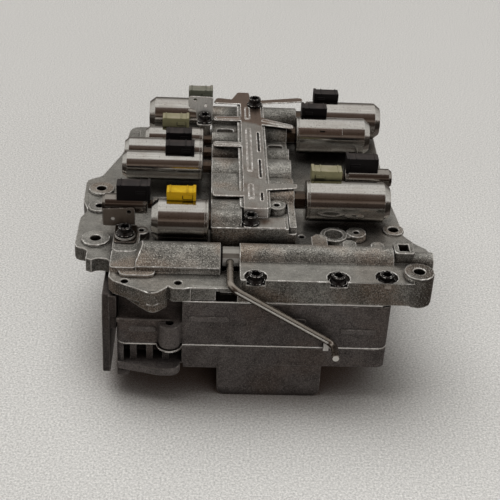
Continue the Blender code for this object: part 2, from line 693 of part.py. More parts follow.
def left_ridge():
    """The left stretch of the ridge: its round top runs down to a straight step, and its end slopes."""
    front = VALVE_Y - APRON_REACH
    back = VALVE_Y + RIDGE_RADIUS
    outline = arc(VALVE_Y, VALVE_Z, RIDGE_RADIUS, 0, APRON_TURN, 7)
    outline += [(front, DECK + APRON_RISE), (front, DECK - CUT), (back, DECK - CUT)]
    top = VALVE_Z + RIDGE_RADIUS + CUT
    end = RIDGE_LEFT - CUT
    slope = prism(((end, VALVE_Z), (RIDGE_LEFT + RIDGE_NOSE, top), (end, top)), front - CUT, back + CUT, "Y")
    return shape(prism(outline, RIDGE_LEFT, WINDOW_LEFT, "X"), remove=[slope])


def key_boss():
    half_x = KEY_LENGTH / 2 + KEY_WALL
    half_y = KEY_WIDTH / 2 + KEY_WALL
    return block(KEY_X - half_x, KEY_X + half_x, KEY_Y - half_y, KEY_Y + half_y,
                 DECK - CUT, DECK + KEY_RISE, 0.002)


def ring_boss():
    """Open ring and screw boss with a web between them, and the hole in each."""
    adds = []
    cuts = []
    for (x, y, radius, rise, hole, depth), sides in ((RING, 14), (SCREW_BOSS, 10)):
        adds.append(upright(x, y, DECK - CUT, DECK + rise, radius, sides))
        cuts.append(upright(x, y, DECK - depth, DECK + rise + CUT, hole, sides))
    (left, left_y), (right, right_y) = RING[:2], SCREW_BOSS[:2]
    web = ((left, left_y - RING_WEB), (right, right_y - RING_WEB), (right, right_y + RING_WEB),
           (left, left_y + RING_WEB))
    adds.append(prism(web, DECK - CUT, DECK + RING_WEB))
    return adds, cuts


def upper_adds():
    """What stands up from the deck of the top casting."""
    adds = [
        block(WINDOW_RIGHT, 0.1150, STACK_FRONT, LEDGE_BACK + 0.004, DECK - CUT, LEDGE_TOP, 0.0015, 2),
        left_ridge(),
        ridge(WINDOW_RIGHT, RIDGE_RIGHT),
        rod((RIDGE_RIGHT - CUT, VALVE_Y, VALVE_Z), (BARREL_END, VALVE_Y, VALVE_Z), BARREL_RADIUS, 16),
        key_boss(),
        upright(LUG_X, LUG_Y, UPPER_Z - 0.0012, DECK + LUG_RISE, LUG_RADIUS, 14),
        skirt(),
        block(*PAD_PLAN, DECK - CUT, PAD_Z, 0.004),
        upright(POST_X, POST_Y, DECK - CUT, POST_Z, POST_RADIUS, 12),
    ]
    for left, right, back, rise, corner in RIDGE_BLOCKS:
        adds.append(block(left, right, VALVE_Y, back, DECK - CUT, DECK + rise, corner, 1))
    for left, right, front, back, rise, corner in (RIDGE_SHELF, RIDGE_MOUND):
        adds.append(block(left, right, front, back, DECK - CUT, DECK + rise, corner, 2))
    for x, y, radius, rise, _ in DECK_BOSSES:
        adds.append(upright(x, y, DECK - CUT, DECK + rise, radius))
    for x, front, back, half, rise in RAILS:
        adds.append(block(x - half, x + half, front, back, DECK - CUT, DECK + rise))
    return adds


def switch_post(row):
    """The bored post that a small solenoid plugs into."""
    near = block_face(row)
    left, right = sorted((near, near - row.side * row.reach))
    half = sleeve_radius(row) + BARREL_WALL
    outline = arc(row.y, SOLENOID_Z, half, 0, 180, 6)
    outline += [(row.y - half, DECK - CUT), (row.y + half, DECK - CUT)]
    return prism(outline, left, right, "X")


def upper_cuts():
    """Bores, windows and holes of the top casting."""
    through = UPPER_Z - 0.03
    key_half = KEY_LENGTH / 2
    cuts = [
        rod((WINDOW_RIGHT - CUT, VALVE_Y, VALVE_Z), (VALVE_BORE_END, VALVE_Y, VALVE_Z), BORE_RADIUS, 14),
        rod((WINDOW_LEFT - LEFT_BORE_DEPTH, VALVE_Y, VALVE_Z), (WINDOW_LEFT + CUT, VALVE_Y, VALVE_Z),
            BORE_RADIUS, 14),
        block(WINDOW_LEFT, WINDOW_RIGHT, VALVE_Y - BORE_RADIUS - 0.0022, VALVE_Y + BORE_RADIUS + 0.0022,
              VALVE_Z - BORE_RADIUS, VALVE_Z + 0.02),
        rod((BARREL_END + CUT, VALVE_Y, VALVE_Z), (PLUG_START - FIT, VALVE_Y, VALVE_Z),
            PLUG_RADIUS + FIT, 10),
        block(KEY_X - key_half, KEY_X + key_half, KEY_Y - KEY_WIDTH / 2, KEY_Y + KEY_WIDTH / 2,
              KEY_FLOOR_Z, DECK + KEY_RISE + CUT),
        block(NOTCH_LEFT, NOTCH_RIGHT, STACK_FRONT - 0.005, STACK_FRONT + NOTCH_DEPTH, UPPER_Z - CUT,
              UPPER_Z + NOTCH_HEIGHT, 0.001, 2),
        upright(LUG_X, LUG_Y, through, DECK + 0.03, LUG_HOLE),
        block(STEP_EDGE + 0.006, WINDOW_LEFT, STACK_FRONT - 0.002, STACK_FRONT + 0.0012,
              UPPER_Z - CUT, DECK - 0.0018),
    ]
    for x, y in FRONT_BOLTS:
        cuts.append(upright(x, y, SPOT_Z, DECK + 0.03, SPOT_RADIUS, 12))
        cuts.append(upright(x, y, through, DECK + 0.03, BOLT_HOLE, 10))
    for x, y, radius in DECK_HOLES + tuple((boss[0], boss[1], boss[4]) for boss in DECK_BOSSES):
        cuts.append(upright(x, y, through, DECK + 0.03, radius, 10 if radius > 0.0035 else 8))
    for x, y, z in (bracket_bolt_place(), rear_bracket_bolt_place()):
        cuts.append(upright(x, y, z - SHORT_BOLT_LENGTH - HOLE_SPARE, z + CUT, BOLT_HOLE, 10))
    x, y, z = retainer_bolt_places()[0]
    cuts.append(upright(x, y, z - BOLT_LENGTH - HOLE_SPARE, z + CUT, BOLT_HOLE, 10))
    return cuts


def upper_body():
    body = prism(deck_outline(), UPPER_Z, DECK)
    ring_adds, ring_cuts = ring_boss()
    posts = [switch_post(row) for row in SMALL_SOLENOIDS]
    bores = [solenoid_bore(row) for row in SMALL_SOLENOIDS]
    shape(body, add=upper_adds() + ring_adds + posts, remove=upper_cuts() + ring_cuts + bores)
    return finish(body, "upper_body", "cast_light", 30)


def side_cover():
    """Dark plate beside the stack, with a lighter strip in front of it."""
    right = STACK_LEFT - GAP
    left = right - COVER_THICKNESS
    low = LOWER_Z - COVER_DROP
    high = UPPER_PLATE_Z - GAP
    outline = rounded(((COVER_FRONT - 0.003, low, 0.003), (COVER_BACK, low, 0.010), (COVER_BACK, high, 0.002),
                       (COVER_FRONT + 0.004, high, 0.002), (COVER_FRONT, high - 0.016, 0.004)), 3)
    plate = prism(outline, left - 0.0030, right - STRIP_DEPTH, "X")
    strip = block(left + 0.0015, right, COVER_FRONT + 0.001, COVER_BACK - 0.01, LOWER_TOP + 0.010, high)
    shape(plate, add=[strip])
    return finish(plate, "side_cover", "cast_dark")


def bulge(y, drop, radius, left, right):
    """A round hump across the body, its top a drop below the spine, on a straight foot."""
    centre = BODY_TOP_Z - drop - radius
    outline = arc(y, centre, radius, 0, 180, 6) + [(y - radius, BODY_Z), (y + radius, BODY_Z)]
    return prism(outline, left, right, "X")


def solenoid_body():
    """Casting that carries the solenoid bores: barrels on both sides of a flat spine."""
    floor_z = BODY_Z + BODY_FLOOR
    boss_x, boss_y, boss_radius, boss_hole = BODY_BOSS
    body = block(BODY_LEFT, BODY_RIGHT, BODY_FRONT, BODY_BACK, BODY_Z, floor_z, 0.002, 2)
    spine = block(SPINE_LEFT, SPINE_RIGHT, -0.036, BODY_BACK, floor_z - CUT, BODY_TOP_Z, 0.002, 2)
    front_step = block(BODY_LEFT, 0.024, BODY_FRONT, -0.030, floor_z - CUT, BODY_STEP_Z - 0.0002, 0.001, 2)
    flat = block(BODY_LEFT, SPINE_LEFT + CUT, -0.010, 0.024, floor_z - CUT, BODY_TOP_Z - 0.0035, 0.002, 2)
    adds = [
        spine, front_step, flat,
        bulge(-0.0290, 0.0, 0.0170, BODY_LEFT, SPINE_LEFT + CUT),
        bulge(0.0400, 0.0, 0.0160, BODY_LEFT, SPINE_LEFT + CUT),
        bulge(0.0080, 0.0, 0.0130, SPINE_RIGHT - CUT, BODY_RIGHT),
        bulge(0.0400, 0.0, 0.0160, SPINE_RIGHT - CUT, BODY_RIGHT),
        bulge(0.0690, 0.004, 0.0110, SPINE_RIGHT - CUT, BODY_RIGHT),
        upright(boss_x, boss_y, floor_z - CUT, BODY_TOP_Z - 0.0025, boss_radius, 12),
        block(0.0245, BODY_RIGHT, BODY_FRONT + 0.003, 0.000, floor_z - CUT, BODY_STEP_Z, 0.001, 2),
    ]
    cuts = [upright(boss_x, boss_y, floor_z - POCKET_DEPTH, BODY_TOP_Z + CUT, boss_hole, 8)]
    for pocket in BODY_POCKETS:
        cuts.append(block(*pocket, floor_z - POCKET_DEPTH, BODY_TOP_Z + CUT, 0.002, 2))
    for row in LARGE_SOLENOIDS:
        adds.append(barrel(row))
        cuts.append(solenoid_bore(row))
    front, rear = retainer_bolt_places()
    cuts.append(upright(front[0], front[1], BODY_Z - CUT, front[2] + CUT, BOLT_HOLE, 10))
    rear_low = rear[2] - SHORT_BOLT_LENGTH - HOLE_SPARE
    cuts.append(upright(rear[0], rear[1], rear_low, rear[2] + CUT, BOLT_HOLE, 10))
    shape(body, add=adds, remove=cuts)
    return finish(body, "solenoid_body", "cast_light", 30)


def sleeve_radius(row):
    return row.radius * SLEEVE_SHARE


def block_face(row):
    """Where the casting that holds a solenoid ends: the body's side, or the post's end."""
    if row in SMALL_SOLENOIDS:
        return row.nose - row.side * POST_GAP
    return row.side * row.reach + (BODY_LEFT if row.side < 0 else BODY_RIGHT)


def barrel(row):
    """The casting round one solenoid bore, from the spine to its mouth."""
    spine = SPINE_LEFT if row.side < 0 else SPINE_RIGHT
    left, right = sorted((spine - row.side * CUT, block_face(row)))
    half = min(sleeve_radius(row) + BARREL_WALL, BODY_TOP_Z - SOLENOID_Z)
    outline = arc(row.y, SOLENOID_Z, half, 0, 180, 6) + [(row.y - half, BODY_Z), (row.y + half, BODY_Z)]
    return prism(outline, left, right, "X")


def solenoid_bore(row):
    face = block_face(row)
    end = face - row.side * (SLEEVE_DEPTH + FIT)
    return rod((face + row.side * CUT, row.y, SOLENOID_Z), (end, row.y, SOLENOID_Z),
               sleeve_radius(row) + FIT, SLEEVE_SIDES)


def can(row):
    """Steel can: a turned cup with a rolled nose edge and a chamfered outer end."""
    chamfer = CAN_CHAMFER * row.radius / 0.016
    profile = ((0, row.radius - 0.0008), (0.0008, row.radius), (row.length - chamfer, row.radius),
               (row.length, row.radius - chamfer * 0.8))
    body = turned(profile, (row.nose, row.y, SOLENOID_Z), (row.side, 0, 0), CAN_SIDES)
    return finish(body, row.name + "_solenoid_can", "steel")


def sleeve(row):
    """Nose sleeve from the casting's bore to the can."""
    radius = sleeve_radius(row)
    start = block_face(row) - row.side * SLEEVE_DEPTH
    reach = abs(row.nose - start) - GAP
    profile = ((0, radius - 0.0015), (0.0015, radius), (reach, radius))
    body = turned(profile, (start, row.y, SOLENOID_Z), (row.side, 0, 0), SLEEVE_SIDES)
    return finish(body, row.name + "_solenoid_sleeve", "sleeve")


def pocket_floor(row):
    """The height of the socket's floor: a wall over the can, where the pocket is nearest to its axis."""
    nearest = max(row.socket_front + SOCKET_WALL, 0.0)
    return SOLENOID_Z + math.sqrt((row.radius + GAP) ** 2 - nearest ** 2) + SOCKET_FLOOR


def connector(row, colour):
    """Plug socket moulded on the can: a box that opens outwards, with two blades and a latch notch."""
    side = row.side
    near = row.socket_start
    far = near + side * row.socket_width
    front = row.y + row.socket_front
    back = front + SOCKET_DEPTH
    low = SOLENOID_Z + row.radius * SOCKET_WRAP
    high = SOLENOID_Z + row.radius + row.socket_rise
    left, right = sorted((near, far))
    shell = block(left, right, front, back, low, high)
    collar = block(*sorted((near, near + side * 0.0025)), front - 0.0006, back + 0.0006, low, high + 0.0006)
    pocket_low = pocket_floor(row)
    pocket_high = high - SOCKET_WALL
    pocket = block(*sorted((near + side * SOCKET_BACK, far + side * CUT)), front + SOCKET_WALL,
                   back - SOCKET_WALL, pocket_low, pocket_high)
    notch = block(*sorted((near + side * 0.0030, near + side * 0.0095)), front - CUT, front + 0.0009,
                  low, SOLENOID_Z + row.radius + 0.0022)
    saddle = rod((left - CUT, row.y, SOLENOID_Z), (right + CUT, row.y, SOLENOID_Z),
                 row.radius + GAP, CAN_SIDES)
    shape(shell, add=[collar], remove=[pocket, notch, saddle])
    blade_z = (pocket_low + pocket_high) / 2
    root = near + side * SOCKET_BACK
    blades = []
    for offset in (-0.0020, 0.0020):
        middle = (front + back) / 2 + offset
        blades.append(block(*sorted((root - side * CUT, root + side * BLADE_LENGTH)), middle - BLADE / 2,
                            middle + BLADE / 2, blade_z - BLADE, blade_z + BLADE))
    shape(shell, add=blades)
    return finish(shell, row.name + "_connector", colour)


def solenoids():
    colours = {"left_fourth": "olive_plastic", "left_front": "yellow_plastic", "right_front": "olive_plastic",
               "left_rear": "grey_plastic"}
    for row in LARGE_SOLENOIDS + SMALL_SOLENOIDS:
        can(row)
        sleeve(row)
        connector(row, colours.get(row.name, "black_plastic"))


def left_arm(front):
    """A straight arm of the retainer that reaches over a solenoid's nose."""
    return block(ARM_TIP, RETAINER_LEFT + CUT, front, front + ARM_WIDTH, RETAINER_Z, RETAINER_TOP_Z, 0.0020, 2)


def retainer_bolt_places():
    return [(*FOOT_BOLT, FOOT_Z + RETAINER_THICKNESS + GAP), (*REAR_BOLT, RETAINER_TOP_Z + GAP)]


def retainer_plate():
    """Stamped spine with arms over the solenoid noses, beads, slots and a stepped-down front foot."""
    thickness = RETAINER_THICKNESS
    left, right, front = RETAINER_LEFT, RETAINER_RIGHT, RETAINER_FRONT
    plate = block(left, right, front, RETAINER_BACK, RETAINER_Z, RETAINER_TOP_Z, 0.0015, 2)
    adds = [
        block(left, right, front, front + thickness, FOOT_Z, RETAINER_TOP_Z),
        block(left, FOOT_RIGHT, FOOT_FRONT, front + thickness, FOOT_Z, FOOT_Z + thickness, 0.0015, 2),
    ]
    adds += [left_arm(start) for start in LEFT_ARMS]
    adds += [prism(rounded(points, 2), RETAINER_Z, RETAINER_TOP_Z) for points in RETAINER_ARMS]
    for start, end in BEADS:
        bead = stadium(BEAD_X, start, end, BEAD_WIDTH, 3)
        adds.append(prism(bead, RETAINER_TOP_Z - thickness / 2, RETAINER_TOP_Z + BEAD_HEIGHT))
    cuts = []
    for start, end in SLOTS:
        cuts.append(prism(stadium(SLOT_X, start, end, SLOT_WIDTH, 3), RETAINER_Z - CUT, RETAINER_TOP_Z + CUT))
    for x, y, z in retainer_bolt_places():
        cuts.append(upright(x, y, z - 0.003, z + CUT, BOLT_HOLE, 10))
    shape(plate, add=adds, remove=cuts)
    return finish(plate, "retainer_plate", "plate")


def bracket_bolt_place():
    return (*BRACKET_BOLT, PAD_Z + GAP + RETAINER_THICKNESS + GAP)


def rear_bracket_bolt_place():
    return (POST_X, POST_Y, POST_Z + GAP + RETAINER_THICKNESS + GAP)


def bracket_holes(places, y):
    """Small holes through an upright plate, at their (x, z) places."""
    return [rod((x, y - CUT, z), (x, y + RETAINER_THICKNESS + CUT, z), BRACKET_HOLE, 8) for x, z in places]


def folded_bracket(name, foot, plate_outline, plate_y, bolt_place, holes):
    """A foot with its bolt hole and an upright plate with two small holes."""
    x, y, z = bolt_place
    upright_plate = prism(plate_outline, plate_y, plate_y + RETAINER_THICKNESS, "Y")
    hole = upright(x, y, z - GAP - RETAINER_THICKNESS - CUT, z + CUT, BOLT_HOLE, 10)
    shape(foot, add=[upright_plate], remove=[hole] + bracket_holes(holes, plate_y))
    return finish(foot, name, "plate")


def front_bracket():
    """Bracket on the pad, its plate before the small can."""
    x, y, z = bracket_bolt_place()
    low = z - GAP - RETAINER_THICKNESS
    small = SMALL_SOLENOIDS[0]
    plate_y = small.y - small.radius - FRONT_PLATE_GAP - RETAINER_THICKNESS
    left, right, left_height, right_height = FRONT_PLATE
    foot = block(x - FRONT_FOOT, x + FRONT_FOOT, y - FRONT_FOOT, plate_y + RETAINER_THICKNESS, low,
                 low + RETAINER_THICKNESS, 0.003, 3)
    outline = rounded(((x - left, low, 0.002), (x + right, low, 0.002),
                       (x + right, low + right_height, 0.002), (x - left, low + left_height, 0.002)), 2)
    holes = ((x - left * 0.57, low + left_height * 0.41), (x + right * 0.29, low + right_height * 0.76))
    return folded_bracket("front_bracket", foot, outline, plate_y, (x, y, z), holes)


def rear_bracket():
    """Bracket on its post at the rear left, its plate before the rear can."""
    x, y, z = rear_bracket_bolt_place()
    low = z - GAP - RETAINER_THICKNESS
    plate_y = y + REAR_PLATE_BACK
    left, right, front = REAR_FOOT
    foot = block(x - left, x + right, y - front, plate_y + RETAINER_THICKNESS,
                 low, low + RETAINER_THICKNESS, 0.002, 2)
    outline = rounded([(x + across, low + rise, corner) for across, rise, corner in REAR_PLATE], 2)
    top = REAR_PLATE[3][1]
    holes = ((x + REAR_PLATE[3][0] * 0.62, low + top * 0.84), (x + REAR_PLATE[2][0] * 0.07, low + top * 0.60))
    return folded_bracket("rear_bracket", foot, outline, plate_y, (x, y, z), holes)


def bolt(x, y, seat, length=BOLT_LENGTH):
    """Flange bolt: flange, head with a six-sided recess, and shank."""
    profile = ((-length, BOLT_SHANK), (0, BOLT_SHANK), (0, BOLT_FLANGE), (BOLT_FLANGE_HEIGHT, BOLT_HEAD),
               (BOLT_HEAD_HEIGHT, BOLT_HEAD * 0.94))
    body = turned(profile, (x, y, seat), (0, 0, 1), 10)
    recess = []
    for k in range(6):
        angle = math.pi * k / 3
        recess.append((x + BOLT_SOCKET * math.cos(angle), y + BOLT_SOCKET * math.sin(angle)))
    top = seat + BOLT_HEAD_HEIGHT
    return shape(body, remove=[prism(recess, top - BOLT_SOCKET_DEPTH, top + CUT)])


def bolts():
    for number, (x, y) in enumerate(FRONT_BOLTS):
        finish(bolt(x, y, SPOT_Z + GAP), "front_bolt_%d" % (number + 1), "black_bolt")
    front, rear = retainer_bolt_places()
    finish(bolt(*front), "retainer_front_bolt", "black_bolt")
    finish(bolt(*rear, SHORT_BOLT_LENGTH), "retainer_rear_bolt", "black_bolt")
    finish(bolt(*bracket_bolt_place(), SHORT_BOLT_LENGTH), "front_bracket_bolt", "black_bolt")
    finish(bolt(*rear_bracket_bolt_place(), SHORT_BOLT_LENGTH), "rear_bracket_bolt", "black_bolt")


def manual_valve():
    """Spool of lands and waists, with the cross hole that takes the rod."""
    profile = []
    for low, high in VALVE_LANDS:
        first = low * VALVE_LENGTH
        last = high * VALVE_LENGTH
        if not profile:
            profile += [(first, LAND_RADIUS - VALVE_CHAMFER), (first + VALVE_CHAMFER, LAND_RADIUS)]
        else:
            profile += [(first, WAIST_RADIUS), (first, LAND_RADIUS)]
        profile += [(last, LAND_RADIUS), (last, WAIST_RADIUS)]
    valve = turned(profile[:-1], (VALVE_START, VALVE_Y, VALVE_Z), (1, 0, 0), 14)
    hole = rod((ROD_X, VALVE_Y - LAND_RADIUS - CUT, VALVE_Z), (ROD_X, VALVE_Y + ROD_HOLE_DEPTH, VALVE_Z),
               ROD_RADIUS + FIT, 10)
    shape(valve, remove=[hole])
    finish(valve, "manual_valve", "steel")
    return set_origin(valve, (ROD_X, VALVE_Y, VALVE_Z))


def bend(corner, before, after, radius, steps=4):
    """Points of a round bend at a corner between two directions."""
    to_before = (Vector(before) - Vector(corner)).normalized()
    to_after = (Vector(after) - Vector(corner)).normalized()
    half = to_before.angle(to_after) / 2
    setback = radius / math.tan(half)
    start = Vector(corner) + to_before * setback
    end = Vector(corner) + to_after * setback
    centre = Vector(corner) + (to_before + to_after).normalized() * (radius / math.sin(half))
    spoke = start - centre
    turn = spoke.rotation_difference(end - centre)
    points = []
    for k in range(steps + 1):
        part = turn.copy()
        part.angle = turn.angle * k / steps
        points.append(centre + part @ spoke)
    return points


def manual_valve_rod():
    """Link rod: a shank in the spool's cross hole, a slanting run and a cranked end."""
    start = Vector((ROD_X, VALVE_Y + ROD_HOLE_DEPTH - FIT, VALVE_Z))
    first = Vector((ROD_X, ROD_PLANE, VALVE_Z))
    second = Vector((ROD_END_X, ROD_PLANE, ROD_END_Z))
    end = Vector((ROD_END_X, ROD_END_Y, ROD_END_Z))
    path = [start] + bend(first, start, second, ROD_BEND) + bend(second, first, end, ROD_BEND) + [end]
    link = carried(path, ROD_RADIUS, 10)
    finish(link, "manual_valve_rod", "steel", 50)
    return set_origin(link, (ROD_X, VALVE_Y, VALVE_Z))


def bore_plug():
    """Plug in the end of the valve bore, with a groove for its key."""
    groove = PLUG_NOSE + KEY_PLAY
    groove_end = groove + KEY_LENGTH - 2 * KEY_PLAY
    profile = ((0, PLUG_RADIUS), (groove, PLUG_RADIUS), (groove, PLUG_WAIST), (groove_end, PLUG_WAIST),
               (groove_end, PLUG_RADIUS), (BARREL_END - CUT - PLUG_START, PLUG_RADIUS))
    plug = turned(profile, (PLUG_START, VALVE_Y, VALVE_Z), (1, 0, 0), 10)
    return finish(plug, "bore_plug", "steel")


def plug_key():
    """Flat key dropped through the window into the plug's groove."""
    half_x = KEY_LENGTH / 2 - KEY_PLAY - FIT
    half_y = KEY_WIDTH / 2 - FIT
    low = VALVE_Z + PLUG_WAIST + FIT
    key = block(KEY_X - half_x, KEY_X + half_x, KEY_Y - half_y, KEY_Y + half_y, low, low + KEY_THICKNESS)
    return finish(key, "plug_key", "plate")


def regulators():
    """Spool, spring and end plug in each cross bore of the middle casting."""
    first, groove, shoulder, end = REGULATOR_LANDS
    neck = REGULATOR_RADIUS * 0.7
    start = REGULATOR_BORE_END + FIT
    plug_start = STACK_RIGHT - REGULATOR_PLUG
    for name, y in zip(("line_pressure", "converter_pressure"), REGULATOR_ROWS):
        profile = ((first, REGULATOR_RADIUS), (groove, REGULATOR_RADIUS), (groove, REGULATOR_WAIST),
                   (shoulder, REGULATOR_WAIST), (shoulder, REGULATOR_RADIUS), (end, REGULATOR_RADIUS))
        valve = turned(profile, (start, y, REGULATOR_Z), (1, 0, 0), REGULATOR_SIDES)
        finish(valve, name + "_valve", "steel")
        set_origin(valve, (start, y, REGULATOR_Z))
        profile = ((0, REGULATOR_RADIUS), (REGULATOR_PLUG - REGULATOR_NECK, REGULATOR_RADIUS),
                   (REGULATOR_PLUG - REGULATOR_NECK, neck), (REGULATOR_PLUG, neck))
        plug = turned(profile, (plug_start, y, REGULATOR_Z), (1, 0, 0), REGULATOR_SIDES)
        finish(plug, name + "_plug", "plate")
        coil(name + "_spring", start + end + FIT, plug_start - FIT, y, REGULATOR_Z)


def coil(name, start, end, y, z):
    """Compression spring between a valve and its plug."""
    radius = REGULATOR_RADIUS - 2.2 * SPRING_WIRE
    low = start + SPRING_WIRE
    high = end - SPRING_WIRE
    steps = SPRING_TURNS * 6
    points = []
    for k in range(steps + 1):
        angle = 2 * math.pi * SPRING_TURNS * k / steps
        along = low + (high - low) * k / steps
        points.append((along, y + radius * math.cos(angle), z + radius * math.sin(angle)))
    finish(carried(points, SPRING_WIRE, 4), name, "steel", 60)


def main():
    clear_scene()
    base_housing()
    lower_body()
    lower_separator_plate()
    middle_body()
    upper_separator_plate()
    upper_body()
    side_cover()
    solenoid_body()
    solenoids()
    retainer_plate()
    front_bracket()
    rear_bracket()
    bolts()
    manual_valve()
    manual_valve_rod()
    bore_plug()
    plug_key()
    regulators()


main()
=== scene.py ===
"""Looks of the transmission valve body: its finishes, finer solenoids, sockets, bolts, springs and rod."""

import math

import bmesh
import bpy
import numpy as np
from mathutils import Matrix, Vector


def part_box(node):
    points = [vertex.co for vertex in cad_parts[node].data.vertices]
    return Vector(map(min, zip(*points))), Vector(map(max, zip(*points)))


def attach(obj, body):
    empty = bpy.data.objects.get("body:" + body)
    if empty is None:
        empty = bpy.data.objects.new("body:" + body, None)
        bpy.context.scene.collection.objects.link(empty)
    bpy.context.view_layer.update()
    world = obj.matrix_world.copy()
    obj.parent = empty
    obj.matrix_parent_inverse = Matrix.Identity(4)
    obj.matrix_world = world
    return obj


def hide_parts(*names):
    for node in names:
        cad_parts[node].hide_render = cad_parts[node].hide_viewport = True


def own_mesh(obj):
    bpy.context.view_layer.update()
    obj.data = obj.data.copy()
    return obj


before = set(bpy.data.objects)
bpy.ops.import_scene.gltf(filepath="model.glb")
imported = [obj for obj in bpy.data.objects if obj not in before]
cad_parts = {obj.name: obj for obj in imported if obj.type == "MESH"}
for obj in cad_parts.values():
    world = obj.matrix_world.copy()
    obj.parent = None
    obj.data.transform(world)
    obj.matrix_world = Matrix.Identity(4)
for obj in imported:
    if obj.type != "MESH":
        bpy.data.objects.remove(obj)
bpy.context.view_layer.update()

LARGE = ("left_rear", "left_fourth", "left_third", "left_second", "left_front",
         "right_rear", "right_middle", "right_front")
SMALL = ("left_switch", "right_switch")
SOCKET_COLOUR = {"left_rear": "grey", "left_fourth": "olive", "left_front": "yellow", "right_front": "olive"}
BOLTS = ("front_bolt_1", "front_bolt_2", "front_bolt_3", "retainer_front_bolt", "retainer_rear_bolt",
         "front_bracket_bolt", "rear_bracket_bolt")

# Bolt: radii of its flange, head, recess and shank, height of the head over the seat, and depth of the
# recess
FLANGE = 0.00675
HEAD = 0.0052
HEAD_HEIGHT = 0.0068
RECESS = 0.0033
RECESS_DEPTH = 0.0030
SHANK = 0.0030

# Washers under the front bracket's bolt
WASHERS = 2
WASHER = 0.0010
WASHER_RADIUS = 0.0079

# Link rod, and the plane of its long run
ROD_RADIUS = 0.0028
ROD_BEND = 0.0060
ROD_PLANE = -0.1095

# Regulator springs: wire radius and turns
SPRING_WIRE = 0.0009
SPRING_TURNS = 4

# Turned pieces: points round them, then the lobes of a recess and their depth as a share of its radius,
# and the radius of a bright rim hoop painted on as a glint
AROUND = 48
LOBES = 6
LOBE_DEPTH = 0.16
RIM_WIRE = 0.00028

# Castings and plates: the turn between two faces, in degrees, past which their edge is sharp
SHARP_ANGLE = 50

# Solenoids: their axis, a can's chamfer as a share of its radius, and their sockets' collar, wall and
# floor
SOLENOID_Z = 0.1180
CAN_CHAMFER = 0.3125
COLLAR = 0.0006
SOCKET_WALL = 0.0013
SOCKET_FLOOR = 0.0010
SOCKET_BACK = 0.0060
SOCKET_GAP = 0.0002

# Socket trim: where the ribs and the latch stand, as shares of its width from its root, and their sizes,
# then a blade's length and its distance from the middle
RIBS = (0.30, 0.88)
RIB_WIDTH = 0.0009
RIB_RISE = 0.0005
LATCH = (0.12, 0.44)
LATCH_HEIGHT = 0.0030
LATCH_GAP = 0.0006
BLADE_LENGTH = 0.0085
BLADE_GAP = 0.0020
TRIM_CORNER = 0.0002

# Retainer beads: where each starts and ends in x and y, their half width, and their height over the plate
BEADS = (((-0.0040, 0.0186), (-0.0040, 0.0969)), ((-0.0040, -0.0264), (-0.0040, -0.0026)),
         ((-0.0040, 0.1146), (-0.0040, 0.1394)), ((-0.0320, 0.0672), (-0.0105, 0.0672)),
         ((0.0085, 0.1140), (0.0340, 0.1032)), ((-0.0320, 0.1168), (-0.0105, 0.1168)))
BEAD_HALF_WIDTH = 0.0021
SLOT_X = 0.0042
SLOT_HALF_WIDTH = 0.0013
SLOTS = ((0.0530, 0.0900), (0.0080, 0.0400), (-0.0290, -0.0150))
BEAD_RISE = 0.0008

# Seam strip on the right middle can: its ends along the can, its angles from the top towards the front,
# and how far it stands proud, then, in the same terms, the black arc of painted shade for its slot
SEAM = (0.0395, 0.0775)
SEAM_TURN = (40.0, 63.0)
SEAM_RISE = 0.0003
SEAM_SLOT = (0.0580, 0.0625)
SEAM_SLOT_TURN = (49.0, 54.0)

# Small screw in the deck, behind the front right can
SCREW = (0.0363, -0.0280)
SCREW_RADIUS = 0.0026

# Just in front of the castings' front face: past it are the raised bars
BAR_FRONT = -0.1036

# Levels of the machined faces on the top casting
DECK_Z = 0.0980
LEDGE_Z = 0.1060
SEAT_Z = 0.1015


# Shader maths

class Value:
    """A shader output. The signs + - * ** between values add Math nodes."""

    def __init__(self, nodes, socket):
        self.nodes = nodes
        self.socket = socket

    def maths(self, operation, *others):
        return self.nodes.node("ShaderNodeMath", {"operation": operation}, dict(enumerate((self,) + others)))

    def __add__(self, other):
        return self.maths("ADD", other)

    def __sub__(self, other):
        return self.maths("SUBTRACT", other)

    def __mul__(self, other):
        return self.maths("MULTIPLY", other)

    def __pow__(self, other):
        return self.maths("POWER", other)

    def __rsub__(self, other):
        return self.nodes.node("ShaderNodeMath", {"operation": "SUBTRACT"}, {0: other, 1: self})

    __radd__ = __add__
    __rmul__ = __mul__

    def above(self, level, width):
        """Rises from 0 to 1 over a width that starts at a level."""
        settings = {"interpolation_type": "SMOOTHSTEP"}
        return self.nodes.node("ShaderNodeMapRange", settings, {0: self, 1: level, 2: level + width})

    def near(self, level, width):
        """1 at a level, falling to 0 a width away on both sides."""
        return 1 - (self - level).maths("ABSOLUTE").above(width / 2, width / 2)


